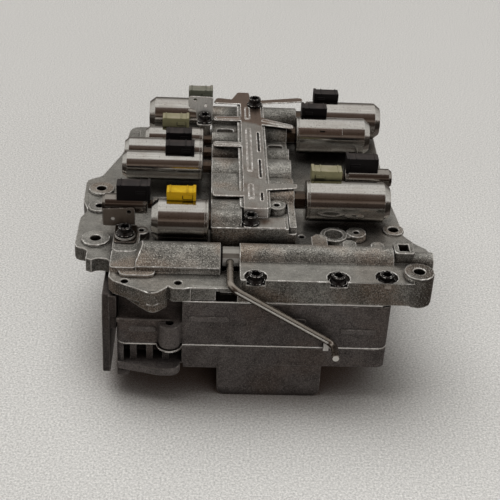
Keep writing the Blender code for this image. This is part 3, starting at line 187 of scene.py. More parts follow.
class Nodes:
    """A node tree, with any node by its type, settings and inputs."""

    def __init__(self, tree):
        self.tree = tree

    def node(self, kind, settings=(), inputs=(), output=0):
        item = self.tree.nodes.new(kind)
        for key, value in dict(settings).items():
            if key == "stops":
                self.set_stops(item.color_ramp, value)
            else:
                setattr(item, key, value)
        for key, value in dict(inputs).items():
            self.feed(item.inputs[key], value)
        return Value(self, item.outputs[output])

    def set_stops(self, ramp, stops):
        for index, (place, colour) in enumerate(stops):
            stop = ramp.elements[index] if index < 2 else ramp.elements.new(place)
            stop.position = place
            stop.color = (*colour, 1)

    def feed(self, socket, value):
        if isinstance(value, Value):
            self.tree.links.new(value.socket, socket)
        elif isinstance(value, tuple) and len(value) == 3 and socket.type == "RGBA":
            socket.default_value = (*value, 1)
        else:
            socket.default_value = value

    def parts(self, vector):
        item = self.tree.nodes.new("ShaderNodeSeparateXYZ")
        self.feed(item.inputs[0], vector)
        return [Value(self, output) for output in item.outputs]

    def mix(self, amount, first, second):
        item = self.tree.nodes.new("ShaderNodeMix")
        item.data_type = "RGBA"
        self.feed(item.inputs["Factor"], amount)
        self.feed(item.inputs[6], first)
        self.feed(item.inputs[7], second)
        return Value(self, item.outputs[2])

    def scaled(self, colour, amount):
        """A colour made lighter or darker by a value."""
        return self.node("ShaderNodeVectorMath", {"operation": "SCALE"}, {0: colour, "Scale": amount})

    def ramp(self, value, *stops):
        return self.node("ShaderNodeValToRGB", {"stops": stops}, {0: value})


class Finish(Nodes):
    """A material made from object coordinates, with the patterns that the finishes share."""

    def __init__(self, name, roughness=0.5, metallic=0.0):
        self.material = bpy.data.materials.new(name)
        self.material.use_nodes = True
        super().__init__(self.material.node_tree)
        self.shader = self.tree.nodes["Principled BSDF"]
        self.shader.inputs["Roughness"].default_value = roughness
        self.shader.inputs["Metallic"].default_value = metallic
        self.where = self.node("ShaderNodeTexCoord", output="Object")
        self.x, self.y, self.z = self.parts(self.where)

    def joined(self, x, y, z):
        return self.node("ShaderNodeCombineXYZ", inputs={0: x, 1: y, 2: z})

    def stretched(self, x, y, z):
        return self.node("ShaderNodeVectorMath", {"operation": "MULTIPLY"}, {0: self.where, 1: (x, y, z)})

    def noise(self, scale, detail=2.0, roughness=0.5, where=None):
        inputs = {"Vector": where or self.where, "Scale": scale, "Detail": detail, "Roughness": roughness}
        return self.node("ShaderNodeTexNoise", inputs=inputs)

    def edge(self, radius, gain):
        """The rounded normal near an edge, and how much it leaves the flat one there."""
        soft = self.node("ShaderNodeBevel", {"samples": 6}, {"Radius": radius})
        flat = self.node("ShaderNodeNewGeometry", output="Normal")
        turned = self.node("ShaderNodeVectorMath", {"operation": "DOT_PRODUCT"}, {0: soft, 1: flat}, "Value")
        return soft, ((1 - turned) * gain).maths("MINIMUM", 1.0)

    def ambient_occlusion(self, distance):
        """Ambient occlusion: 0 in a crevice, rising to 1 in the open. It masks the painted shade of the
        finishes.
        """
        return self.node("ShaderNodeAmbientOcclusion", {"samples": 6}, {"Distance": distance}, "AO")

    def facing_up(self):
        normal = self.node("ShaderNodeNewGeometry", output="True Normal")
        return self.parts(normal)[2].above(0.92, 0.06)

    def facing_front(self):
        normal = self.node("ShaderNodeNewGeometry", output="True Normal")
        return (0 - self.parts(normal)[1]).above(0.95, 0.04)

    def bump(self, height, depth, normal=None):
        inputs = {"Height": height, "Distance": depth, "Strength": 1.0}
        if normal is not None:
            inputs["Normal"] = normal
        return self.node("ShaderNodeBump", inputs=inputs)

    def paint(self, colour, roughness=None, metallic=None, normal=None):
        named = {"Base Color": colour, "Roughness": roughness, "Metallic": metallic, "Normal": normal}
        for key, value in named.items():
            if value is not None:
                self.feed(self.shader.inputs[key], value)
        return self.material


# Finishes

def toned(colour, times, more=0.0):
    """A colour multiplied and lifted, with each part at most 1."""
    return tuple(min(1.0, times * part + more) for part in colour)


def sand_cast(name, dark, light, warm, grain=1.0, metal=0.8, machined_levels=(), stains=(), proud=None):
    """Sand-cast aluminium: coarse and fine grain, bright flecks painted on as glints, brown tints, painted
    near-black shade in crevices and seams, and pale edges that are partly wear and partly painted highlight.
    Faces that look up at a machined level are smoother, with cutter lines. A stain is a dark brown patch:
    the x and y of its middle, and its reach. Proud is the y in front of which paler raised bars stand."""
    skin = Finish(name, 0.5, metal)
    soft, wear_and_highlight = skin.edge(0.0009, 6.0)
    cloud = skin.noise(38.0, 4.0, 0.6)
    wrinkle = skin.noise(330.0, 3.0, 0.6)
    clump = skin.noise(800.0, 2.0, 0.6)
    fine = skin.noise(1500.0, 2.0, 0.6)
    smear = skin.noise(85.0, 4.0, 0.7)
    glint_fleck = skin.noise(1250.0, 1.0, 0.5).above(0.60, 0.06)
    body = skin.mix(cloud.above(0.35, 0.3), dark, light)
    brown = skin.noise(19.0, 3.0).above(0.48, 0.16) * 0.7
    body = skin.mix(brown, body, warm)
    for x, y, reach in stains:
        away = ((skin.x - x) ** 2 + (skin.y - y) ** 2) ** 0.5
        stain = (1 - away.above(reach * 0.55, reach * 0.6)) * 0.85
        body = skin.mix(stain, body, toned(warm, 0.26))
    if proud is not None:
        bars = 1 - skin.y.above(proud, 0.0002)
        body = skin.mix(bars * 0.6, body, toned(light, 1.35))
    speckle = 1 + (clump - 0.5) * (1.8 * grain) + (fine - 0.5) * (2.0 * grain)
    speckle = speckle + (smear - 0.5) * (1.1 * grain)
    body = skin.scaled(body, speckle.maths("MAXIMUM", 0.15))
    # Painted glints: flecks lifted to a bright colour
    body = skin.mix(glint_fleck * (0.5 * grain), body, toned(light, 2.2))
    height = clump * 0.8 + fine * 0.5 + wrinkle * 1.1
    rough = 0.42 - glint_fleck * 0.14
    up = skin.facing_up()
    flat = None
    for level in machined_levels:
        here = skin.z.near(level, 0.0006) * up
        flat = here if flat is None else flat.maths("MAXIMUM", here)
    if flat is not None:
        lines = skin.noise(260.0, 3.0, 0.6, skin.stretched(0.08, 6.0, 1.0))
        smooth = skin.scaled(skin.mix(cloud, light, dark), lines * 0.6 + clump * 0.5 + smear * 1.3 - 0.2)
        body = skin.mix(flat * 0.75, body, smooth)
        rough = rough - flat * (0.16 - lines * 0.06)
        height = height * (1 - flat * 0.75) + lines * flat * 0.12
    # Painted shade: near black in crevices and seams, masked by ambient occlusion
    crevice_shade = skin.ambient_occlusion(0.011).above(0.36, 0.50)
    body = skin.mix(crevice_shade, toned(warm, 0.08), body)
    seam_shade = skin.ambient_occlusion(0.0035).above(0.40, 0.40)
    body = skin.mix(seam_shade, toned(warm, 0.05), body)
    # Pale edges: partly wear, partly painted highlight
    body = skin.mix(wear_and_highlight * 0.6, body, toned(light, 2.4))
    return skin.paint(body, rough, normal=skin.bump(height, 0.00042, soft))


def turned_steel(name, pale=(0.60, 0.585, 0.56), dull=(0.50, 0.47, 0.435)):
    """Bright can steel: rings and streaks round the axis, faint smudges, dark specks and brown oil
    marks, with painted shade in its hollows and pale edges that are partly wear and partly painted
    highlight."""
    skin = Finish(name, 0.16, 1.0)
    soft, wear_and_highlight = skin.edge(0.0004, 5.0)
    rings = skin.noise(1900.0, 2.0, 0.6, skin.joined(skin.x, 0.0, 0.0))
    streak = skin.noise(90.0, 4.0, 0.7, skin.stretched(0.25, 9.0, 9.0))
    smudge = skin.noise(70.0, 4.0, 0.6)
    speck = skin.noise(900.0, 2.0, 0.7).above(0.62, 0.05)
    colour = skin.mix(smudge.above(0.3, 0.5), pale, dull)
    colour = skin.scaled(colour, 0.52 + rings * 0.3 + streak * 0.62)
    colour = skin.mix(speck * 0.6, colour, (0.12, 0.09, 0.07))
    # Painted shade: near black in hollows
    colour = skin.mix(skin.ambient_occlusion(0.006).above(0.30, 0.6), (0.03, 0.022, 0.018), colour)
    # Pale edges: partly wear, partly painted highlight
    colour = skin.mix(wear_and_highlight * 0.6, colour, (0.90, 0.88, 0.84))
    rough = 0.07 + smudge * 0.06 + streak * 0.06
    return skin.paint(colour, rough, normal=skin.bump(rings * 0.4 + streak, 0.00002, soft))


def stamped_steel(name, pale=(0.46, 0.44, 0.41), brown=(0.24, 0.165, 0.125), brown_from=None):
    """Worn stamped plate: grey steel with brown tints, scratches along it, painted shade in its hollows and
    bright rolled edges that are partly wear and partly painted highlight, its narrow front faces ground
    dull. Past a distance to the rear it can be brown all over."""
    skin = Finish(name, 0.3, 1.0)
    soft, wear_and_highlight = skin.edge(0.0008, 7.0)
    cloud = skin.noise(30.0, 4.0, 0.6)
    scratch = skin.noise(120.0, 4.0, 0.75, skin.stretched(7.0, 0.7, 1.0))
    fine = skin.noise(1300.0, 2.0, 0.7)
    tint = cloud.above(0.48, 0.22)
    if brown_from is not None:
        tint = tint.maths("MAXIMUM", (skin.y + (cloud - 0.5) * 0.06).above(brown_from, 0.01) * 0.9)
    colour = skin.mix(tint, pale, brown)
    colour = skin.scaled(colour, 0.30 + scratch * 0.7 + fine * 0.7)
    # Painted shade: near black in hollows
    colour = skin.mix(skin.ambient_occlusion(0.005).above(0.28, 0.55), (0.02, 0.015, 0.012), colour)
    # Bright edges: partly rolled wear, partly painted highlight
    colour = skin.mix(wear_and_highlight * 0.9, colour, (0.95, 0.93, 0.89))
    rough = 0.22 + fine * 0.16 - wear_and_highlight * 0.08
    marks = skin.bump(scratch * 0.4 + fine, 0.00006, soft)
    return skin.paint(colour, rough, 1 - skin.facing_front() * 0.75, marks)


def plain_steel(name, colour=(0.50, 0.48, 0.45), spread=1.0, rough=0.20):
    """Ground steel with streaks along the length and small stains. Sawn ends that face the front are
    dull."""
    skin = Finish(name, rough, 1.0)
    soft = skin.edge(0.0003, 2.0)[0]
    streak = skin.noise(60.0, 4.0, 0.7, skin.stretched(spread, 5.0, 5.0))
    stain = skin.noise(160.0, 3.0, 0.6).above(0.55, 0.15)
    end = skin.facing_front()
    tone = skin.scaled(colour, 0.60 + streak * 0.8)
    tone = skin.mix(stain * 0.35, tone, (0.22, 0.16, 0.12))
    tone = skin.mix(end, tone, (0.55, 0.53, 0.49))
    rough = rough + streak * 0.14 + end * 0.2
    return skin.paint(tone, rough, 1 - end * 0.8, skin.bump(streak, 0.00003, soft))


def rubbed_and_highlit(name, bright, base, patchy=0.1, metal=1.0, rough=0.22):
    """Bare metal of edges, partly rubbing wear and partly painted highlight: bright in patches over a duller
    base, with painted shade in its hollows.
    """
    skin = Finish(name, rough, metal)
    patch = skin.noise(240.0, 3.0, 0.7).above(0.5 - patchy, 0.2)
    fine = skin.noise(1300.0, 2.0, 0.7)
    colour = skin.scaled(skin.mix(patch, base, bright), 0.5 + fine)
    # Painted shade: dark in hollows
    colour = skin.mix(skin.ambient_occlusion(0.004).above(0.20, 0.5), toned(base, 0.1), colour)
    return skin.paint(colour, rough + fine * 0.12)


def phosphated(name, glint_from=None):
    """Black phosphated steel, with painted shade in its hollows. Where its patchy noise is over a level,
    bright patches are painted on as glints."""
    skin = Finish(name, 0.3, 0.9)
    cloud = skin.noise(420.0, 3.0, 0.7)
    colour = skin.scaled((0.040, 0.036, 0.035), 0.2 + cloud * 1.6)
    # Painted shade: near black in hollows
    colour = skin.mix(skin.ambient_occlusion(0.003).above(0.3, 0.5), (0.003, 0.003, 0.003), colour)
    # Painted glints: bright patches where the noise is over a level
    if glint_from is not None:
        colour = skin.mix(skin.noise(600.0, 2.0, 0.6).above(glint_from, 0.12), colour, (0.92, 0.91, 0.88))
    return skin.paint(colour, 0.2 + cloud * 0.16, normal=skin.bump(cloud, 0.00008))


def moulded(name, colour, top_dust_and_light=(0.35, 0.30, 0.26), shine=0.4):
    """Moulded plastic with a faint grain, soft handling marks, painted shade in its hollows, lighter edges
    that are partly wear and partly painted highlight, and a lighter tone on what looks up that is partly
    a dusting and partly painted light from above.
    """
    skin = Finish(name, 0.42, 0.0)
    skin.shader.inputs["Specular IOR Level"].default_value = shine
    soft, wear_and_highlight = skin.edge(0.0003, 3.0)
    cloud = skin.noise(120.0, 3.0, 0.6)
    grain = skin.noise(1300.0, 2.0, 0.6)
    tone = skin.scaled(colour, 0.55 + cloud * 0.5 + grain * 0.4)
    # Lighter edges: partly wear, partly painted highlight
    tone = skin.mix(wear_and_highlight * 0.5, tone, toned(colour, 1.5, 0.07))
    # Lighter tops: partly a dusting, partly painted light from above
    tone = skin.mix(skin.facing_up() * (0.15 + cloud.above(0.4, 0.3) * 0.35), tone, top_dust_and_light)
    # Painted shade: dark in hollows
    tone = skin.mix(skin.ambient_occlusion(0.004).above(0.25, 0.6), toned(colour, 0.12), tone)
    return skin.paint(tone, 0.34 + cloud * 0.14, normal=skin.bump(grain, 0.00003, soft))


def dress(material, *nodes):
    """Give CAD nodes a finish."""
    for node in nodes:
        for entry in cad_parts[node].material_slots:
            entry.material = material


# Shapes

def outline(half_width, half_height, corner, steps=6):
    """A rounded rectangle: four quarter arcs of the corner radius round points set in from its
    corners."""
    corner = min(corner, half_width, half_height)
    turn = np.linspace(0, math.pi / 2, steps + 1)
    quarters = []
    for k, (side, top) in enumerate(((1, 1), (-1, 1), (-1, -1), (1, -1))):
        angle = turn + k * math.pi / 2
        across = side * (half_width - corner) + corner * np.cos(angle)
        along = top * (half_height - corner) + corner * np.sin(angle)
        quarters.append(np.stack([across, along], 1))
    return np.concatenate(quarters)


def ring(radius, count=64, lobes=0, wave=0.0):
    """A circle, its radius swelling by a share of itself once for each lobe."""
    angle = np.arange(count) * 2 * math.pi / count
    reach = radius * (1 + wave * np.cos(lobes * angle))
    return np.stack([reach * np.cos(angle), reach * np.sin(angle)], 1)


AXES = {"X": (1, 2, 0), "Y": (2, 0, 1), "Z": (0, 1, 2)}


def rows_of(sections, origin, axis="Z", way=1):
    """Flat outlines laid square to an axis, each at its own distance from the origin along it."""
    first, second, along = AXES[axis]
    rows = np.zeros((len(sections), len(sections[0][1]), 3))
    for row, (distance, flat) in zip(rows, sections):
        row[:, first] = flat[:, 0]
        row[:, second] = flat[:, 1]
        row[:, along] = way * distance
    return rows + np.array(origin)


def skinned(rows, base=0):
    """Faces of a grid whose rows are closed loops, with both ends closed by one flat face."""
    count, around = rows.shape[:2]
    start = np.arange(count - 1)[:, None] * around
    here = np.arange(around)[None, :]
    after = (here + 1) % around
    corners = [start + here, start + after, start + around + after, start + around + here]
    faces = np.stack(corners, -1).reshape(-1, 4)
    ends = [list(range(around))[::-1], list(range((count - 1) * around, count * around))]
    return [[base + int(v) for v in face] for face in faces.tolist() + ends]


def piece(name, grids, material, node, replaced=True, body="root", smooth=40):
    """One mesh object of closed grids, shaded, riding on its body, with the given material. The CAD node
    that it replaces is hidden."""
    points = np.concatenate([rows.reshape(-1, 3) for rows in grids])
    faces = []
    base = 0
    for rows in grids:
        faces += skinned(rows, base)
        base += rows.shape[0] * rows.shape[1]
    mesh = bpy.data.meshes.new(name)
    mesh.from_pydata(points.tolist(), [], faces)
    item = bpy.data.objects.new(name, mesh)
    bpy.context.scene.collection.objects.link(item)
    turn_outwards(mesh, grids)
    mesh.shade_smooth()
    mesh.set_sharp_from_angle(angle=math.radians(smooth))
    mesh.materials.append(material)
    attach(item, body)
    if replaced:
        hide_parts(node)
    return item


def turn_outwards(mesh, grids):
    """Flip every face if the first grid's signed volume is below nought."""
    rows = grids[0]
    middle = rows.reshape(-1, 3).mean(0)
    after = np.roll(rows, -1, axis=1)
    a = rows[:-1] - middle
    b = after[:-1] - middle
    c = after[1:] - middle
    if (np.cross(a, b) * c).sum() < 0:
        mesh.flip_normals()


def box_of(node):
    low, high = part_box(node)
    return np.array(low), np.array(high)


def side_of(name):
    return 1 if name.startswith("right") else -1


def block(left, right, front, back, low, high, corner=0.0004):
    """A box as a grid: its plan, a rounded rectangle, at each height, drawn in a little at both ends."""
    half = ((right - left) / 2, (back - front) / 2)
    drawn = min(corner, 0.3 * (high - low), 0.4 * min(half))
    small = outline(half[0] - drawn, half[1] - drawn, corner, 3)
    large = outline(*half, corner + drawn, 3)
    sections = [(low, small), (low + drawn, large), (high - drawn, large), (high, small)]
    return rows_of(sections, ((left + right) / 2, (front + back) / 2, 0.0))


def rounded(node, material, wear_and_highlight, width):
    """A copy of a CAD node with its triangles merged into flat faces: round stretches shade smoothly, and
    a Bevel modifier rounds its outer edges, which take the edge finish: partly wear, partly painted
    highlight."""
    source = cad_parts[node]
    mesh = source.data.copy()
    mesh.transform(source.matrix_world)
    merged = bmesh.new()
    merged.from_mesh(mesh)
    bmesh.ops.remove_doubles(merged, verts=merged.verts, dist=0.00001)
    bmesh.ops.dissolve_limit(merged, angle_limit=math.radians(0.5), verts=merged.verts, edges=merged.edges)
    marks = merged.edges.layers.float.new("bevel_weight_edge")
    for edge in merged.edges:
        if edge.is_convex and edge.calc_face_angle(0.0) > math.radians(SHARP_ANGLE):
            edge[marks] = 1.0
    merged.to_mesh(mesh)
    merged.free()
    mesh.shade_smooth()
    mesh.set_sharp_from_angle(angle=math.radians(SHARP_ANGLE))
    mesh.materials.clear()
    mesh.materials.append(material)
    mesh.materials.append(wear_and_highlight)
    item = bpy.data.objects.new(node + "_skin", mesh)
    bpy.context.scene.collection.objects.link(item)
    soft = item.modifiers.new("rounded_edges", "BEVEL")
    soft.width = width
    soft.segments = 2
    soft.limit_method = "WEIGHT"
    soft.use_clamp_overlap = False
    soft.material = 1
    flat = item.modifiers.new("flat_faces", "WEIGHTED_NORMAL")
    flat.keep_sharp = True
    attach(item, "root")
    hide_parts(node)


# Solenoids

def solenoid_can(name):
    """A deep-drawn can, turned from its radius against the distance from its nose: a rolled nose lip, a
    shallow crimp groove and a crisp chamfer at the far end, which closes on a slightly dished face."""
    node = name + "_solenoid_can"
    low, high = box_of(node)
    side = side_of(name)
    radius = (high[1] - low[1]) / 2
    length = high[0] - low[0]
    nose = low[0] if side > 0 else high[0]
    centre = (nose, (low[1] + high[1]) / 2, SOLENOID_Z)
    chamfer = CAN_CHAMFER * radius
    end = radius - 0.8 * chamfer
    profile = [(0.0, radius * 0.62), (0.0, radius - 0.0012), (0.0003, radius - 0.0004), (0.0008, radius),
               (0.0016, radius), (0.0018, radius - 0.0004), (0.0027, radius - 0.0004), (0.0029, radius),
               (length * 0.5, radius), (length - chamfer, radius), (length, end), (length, radius * 0.50),
               (length - 0.0004, radius * 0.45), (length - 0.0004, radius * 0.12)]
    sections = [(along, ring(reach, 96)) for along, reach in profile]
    steel = SMALL_CAN_STEEL if name in SMALL else CAN_STEEL
    piece(node + "_shell", [rows_of(sections, centre, "X", side)], steel, node, smooth=24)


def saddle_outline(front, back, low, high, axis_y, radius, corner=0.0006):
    """A socket's section across the can: two quarter arcs at its top corners, and an underside that
    follows the can's circle down to a lowest level."""
    turn = np.linspace(0, math.pi / 2, 4)
    right = np.stack([back - corner + corner * np.cos(turn), high - corner + corner * np.sin(turn)], 1)
    left = np.stack([front + corner - corner * np.sin(turn), high - corner + corner * np.cos(turn)], 1)
    y = np.linspace(front, back, 15)
    rise = np.sqrt(np.maximum(radius ** 2 - (y - axis_y) ** 2, 0.0))
    under = np.stack([y, np.maximum(low, SOLENOID_Z + rise)], 1)
    return np.concatenate([right, left, under])


def connector(name):
    """Plug socket: sections along the can, with a collar at its root and an open far end. It has two
    blades inside, two ribs on its top, and a latch bridge on its front. On a pale socket, black blocks
    proud of its front below and beside the latch are painted shade."""
    node = name + "_connector"
    low, high = box_of(node)
    side = side_of(name)
    can_low, can_high = box_of(name + "_solenoid_can")
    axis_y = (can_low[1] + can_high[1]) / 2
    radius = (can_high[1] - can_low[1]) / 2 + SOCKET_GAP
    front = low[1] + COLLAR
    back = high[1] - COLLAR
    top = high[2] - COLLAR
    near = low[0] if side > 0 else high[0]
    width = high[0] - low[0]

    def section(grow):
        return saddle_outline(front - grow, back + grow, low[2], top + grow, axis_y, radius)

    floor = SOLENOID_Z + math.sqrt(radius ** 2 - max(front + SOCKET_WALL - axis_y, 0.0) ** 2) + SOCKET_FLOOR
    inner = saddle_outline(front + SOCKET_WALL, back - SOCKET_WALL, floor, top - SOCKET_WALL, axis_y, 0.001)
    lip = saddle_outline(front + 0.0003, back - 0.0003, low[2], top - 0.0003, axis_y, radius + 0.0002)
    sections = [(0.0, section(COLLAR - 0.0003)), (0.0003, section(COLLAR)), (0.0022, section(COLLAR)),
                (0.0025, section(0.0)), (width - 0.0004, section(0.0)), (width, lip), (width, inner),
                (SOCKET_BACK, inner)]
    grids = [rows_of(sections, (near, 0.0, 0.0), "X", side)]
    root = near + side * (SOCKET_BACK - 0.0005)
    blade_ends = sorted((root, root + side * BLADE_LENGTH))
    grids += blades(blade_ends, (front + back) / 2, (floor + top - SOCKET_WALL) / 2)
    for share in RIBS:
        rib = near + side * width * share
        grids.append(block(rib - RIB_WIDTH / 2, rib + RIB_WIDTH / 2, front - 0.0003, back, top - 0.0010,
                           top + RIB_RISE, TRIM_CORNER))
    left, right = sorted((near + side * width * LATCH[0], near + side * width * LATCH[1]))
    latch_top = floor + (top - floor) * 0.55
    latch_low = max(low[2] + 0.0004, latch_top - LATCH_HEIGHT)
    grids.append(block(left, right, front - 0.0005, front + 0.0006, latch_low, latch_top, TRIM_CORNER))
    grids.append(block(left + LATCH_GAP, right - LATCH_GAP, front - COLLAR, front + 0.0006,
                       latch_low + 0.0004, latch_low + 0.0013, TRIM_CORNER))
    colour = SOCKET_COLOUR.get(name, "black")
    piece(node + "_shell", grids, PLASTICS[colour], node, smooth=30)
    if colour != "black":
        # Painted shade: black blocks proud of the front, below and beside the latch
        proud = (front - 0.0002, front + 0.0004)
        latch_shade_blocks = [block(left, right, *proud, latch_low - LATCH_GAP, latch_low, TRIM_CORNER),
                 block(left - LATCH_GAP, left, *proud, latch_low, latch_top, TRIM_CORNER)]
        piece(node + "_latch_slot", latch_shade_blocks, PLASTICS["black"], node, replaced=False)


def blades(ends, middle, level):
    """The two contact blades of a socket, one on each side of its middle."""
    grids = []
    for offset in (-BLADE_GAP, BLADE_GAP):
        across = middle + offset
        grids.append(block(*ends, across - 0.0004, across + 0.0004, level - 0.0008, level + 0.0008,
                           TRIM_CORNER))
    return grids


# Bolts

def flange_bolt(node, washers=0):
    """Flange bolt: shank, a flange with a rolled rim, a coned neck, a head with a six-lobed recess, and
    thin bright rings on its rims that are painted glints. Washers under its flange lift it by their
    thickness."""
    low, high = box_of(node)
    centre = (low + high) / 2
    seat = high[2] - HEAD_HEIGHT
    base = seat + washers * WASHER
    profile = [(0.0, FLANGE - 0.0004), (0.0003, FLANGE), (0.0010, FLANGE), (0.0014, FLANGE - 0.0005),
               (0.0019, HEAD + 0.0006), (0.0026, HEAD), (0.0030, HEAD - 0.0003), (0.0034, HEAD),
               (0.0060, HEAD), (0.0066, HEAD - 0.0004), (0.0068, HEAD - 0.0009), (0.0068, RECESS + 0.0006)]
    shank = ring(SHANK, AROUND)
    sections = [(low[2], ring(SHANK - 0.0004, AROUND)), (low[2] + 0.0004, shank), (base, shank)]
    sections += [(base + rise, ring(reach, AROUND)) for rise, reach in profile]
    sections += [(base + rise, lobed(reach))
                 for rise, reach in ((0.0064, RECESS), (HEAD_HEIGHT - RECESS_DEPTH, RECESS * 0.96))]
    place = (centre[0], centre[1], 0.0)
    piece(node + "_turned", [rows_of(sections, place)], BOLT_BLACK, node, smooth=30)
    # Painted glints: bright rings on the flange, head and recess rims
    rims = [rim(centre, base + 0.0011, FLANGE - 0.0003), rim(centre, base + 0.0063, HEAD - 0.0003),
            rim(centre, base + 0.0067, RECESS + 0.0005)]
    piece(node + "_rims", rims, GLINT_RIM, node, replaced=False)
    if washers:
        flats = []
        for number in range(washers):
            level = seat + number * WASHER
            inner = ring(WASHER_RADIUS - 0.0003, AROUND)
            outer = ring(WASHER_RADIUS, AROUND)
            sections = [(level, inner), (level + 0.0002, outer), (level + WASHER - 0.0003, outer),
                        (level + WASHER - 0.0001, inner)]
            flats.append(rows_of(sections, place))
        piece(node + "_washers", flats, WASHER_STEEL, node, replaced=False, smooth=30)


def lobed(reach):
    """A ring that swells and shrinks in six lobes, as the recess of a bolt does."""
    return ring(reach, AROUND, LOBES, LOBE_DEPTH)


def rim(centre, height, reach):
    """A thin hoop round an upright axis."""
    angle = np.linspace(0, 2 * math.pi, AROUND + 1)
    flat = [centre[0] + reach * np.cos(angle), centre[1] + reach * np.sin(angle)]
    return swept(np.stack(flat + [np.full(AROUND + 1, height)], 1), RIM_WIRE, 6, RIM_WIRE / 4)


# Link rod

def link_rod():
    """The bent rod: a circle carried along its path, which runs from the spool's cross hole to the
    cranked end, with round bends between the straight runs and a chamfer at each end."""
    low, high = box_of("manual_valve_rod")
    spool_low, spool_high = box_of("manual_valve")
    start = np.array([low[0] + ROD_RADIUS, high[1] - 0.0001, (spool_low[2] + spool_high[2]) / 2])
    end = np.array([high[0] - ROD_RADIUS, low[1], low[2] + ROD_RADIUS])
    first = np.array([start[0], ROD_PLANE, start[2]])
    second = np.array([end[0], ROD_PLANE, end[2]])
    path = [start] + bend(first, start, second) + bend(second, first, end) + [end]
    piece("link_rod", [swept(path, ROD_RADIUS)], ROD_STEEL, "manual_valve_rod", body="link")


def bend(corner, before, after, steps=12):
    """Points of a round bend at a corner: an arc of the bend's radius that touches both straight runs."""
    to_before = (before - corner) / np.linalg.norm(before - corner)
    to_after = (after - corner) / np.linalg.norm(after - corner)
    half = math.acos(float(to_before @ to_after)) / 2
    middle = to_before + to_after
    centre = corner + middle / np.linalg.norm(middle) * ROD_BEND / math.sin(half)
    first = corner + to_before * ROD_BEND / math.tan(half) - centre
    last = corner + to_after * ROD_BEND / math.tan(half) - centre
    whole = math.pi - 2 * half
    points = []
    for k in range(steps + 1):
        part = k / steps
        share_first = math.sin((1 - part) * whole) / math.sin(whole)
        share_last = math.sin(part * whole) / math.sin(whole)
        points.append(centre + first * share_first + last * share_last)
    return points


def swept(path, radius, sides=28, chamfer=0.0004):
    """A circle carried along points, kept square to the path, and drawn in at both ends."""
    path = np.array(path)
    lead = (path[1] - path[0]) / np.linalg.norm(path[1] - path[0])
    tail = (path[-1] - path[-2]) / np.linalg.norm(path[-1] - path[-2])
    after_start = path[:1] + lead * chamfer
    before_end = path[-1:] - tail * chamfer
    path = np.concatenate([path[:1], after_start, path[1:-1], before_end, path[-1:]])
    reach = np.full(len(path), radius)
    reach[[0, -1]] = radius - chamfer
    ahead = np.gradient(path, axis=0)
    ahead /= np.linalg.norm(ahead, axis=1)[:, None]
    side = np.array([1.0, 0.0, 0.0])
    angle = np.arange(sides) * 2 * math.pi / sides
    rows = []
    for here, way, wide in zip(path, ahead, reach):
        side = side - way * (side @ way)
        side = side / np.linalg.norm(side)
        other = np.cross(way, side)
        rows.append(here + wide * (np.cos(angle)[:, None] * side + np.sin(angle)[:, None] * other))
    return np.array(rows)


# Pressure regulators

def spring(name):
    """Compression spring: a wire carried along a helix between the valve and its plug."""
    node = name + "_spring"
    low, high = box_of(node)
    middle = (low + high) / 2
    reach = (high[1] - low[1]) / 2 - SPRING_WIRE
    share = np.linspace(0, 1, 24 * SPRING_TURNS + 1)
    turn = 2 * math.pi * SPRING_TURNS * share
    along = low[0] + SPRING_WIRE + share * (high[0] - low[0] - 2 * SPRING_WIRE)
    path = np.stack([along, middle[1] + reach * np.cos(turn), middle[2] + reach * np.sin(turn)], 1)
    item = piece(node + "_coil", [swept(path, SPRING_WIRE, 12, 0.0002)], GROUND, node)
    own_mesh(item)


# Retainer

def rolled_beads():
    """Pressed beads of the retainer: half-round ridges whose width and height swell from nought at both
    ends."""
    plate_top = box_of("retainer_plate")[1][2] - BEAD_RISE
    angle = np.linspace(0, 2 * math.pi, 20, endpoint=False)
    share = np.linspace(0, 1, 33)
    grids = []
    for start, end in BEADS:
        start, end = np.array(start), np.array(end)
        length = np.linalg.norm(end - start)
        way = (end - start) / length
        across = np.array([way[1], -way[0]])
        round_end = BEAD_HALF_WIDTH / length
        reach = np.clip(np.minimum(share, 1 - share) / round_end, 0.0, 1.0)
        swell = np.sqrt(1 - (1 - reach) ** 2).clip(0.05)
        middle = start + share[:, None] * (end - start)
        sideways = np.outer(swell, np.cos(angle)) * BEAD_HALF_WIDTH
        upwards = np.outer(swell, np.sin(angle)) * (BEAD_RISE + 0.0001)
        rows = np.zeros((len(share), len(angle), 3))
        rows[:, :, :2] = middle[:, None] + sideways[:, :, None] * across
        rows[:, :, 2] = plate_top - 0.0002 + np.maximum(upwards, 0.0)
        grids.append(rows)
    piece("retainer_beads", grids, STAMPED, "retainer_plate", replaced=False, smooth=60)
    # Painted highlights: bright wires along the edges of each bead and slot
    highlight_hoops = [hoop(start, end, BEAD_HALF_WIDTH, plate_top) for start, end in BEADS]
    highlight_hoops += [hoop((SLOT_X, front), (SLOT_X, back), SLOT_HALF_WIDTH, plate_top) for front, back in SLOTS]
    piece("retainer_highlight_hoops", highlight_hoops, STEEL_EDGE, "retainer_plate", replaced=False)


def hoop(start, end, half_width, height, thickness=0.00048):
    """A thin bright wire round a slot or bead, a painted highlight along its edge: two straight runs and
    two half circles.
    """
    start, end = np.array(start), np.array(end)
    way = (end - start) / np.linalg.norm(end - start)
    across = np.array([way[1], -way[0]])
    turn = np.linspace(0, math.pi, 13)
    inner = half_width
    far = end - way * inner + inner * (np.cos(turn)[:, None] * across + np.sin(turn)[:, None] * way)
    near = start + way * inner - inner * (np.cos(turn)[:, None] * across + np.sin(turn)[:, None] * way)
    flat = np.concatenate([far, near, far[:1]])
    return swept(np.column_stack([flat, np.full(len(flat), height)]), thickness, 6, thickness / 4)


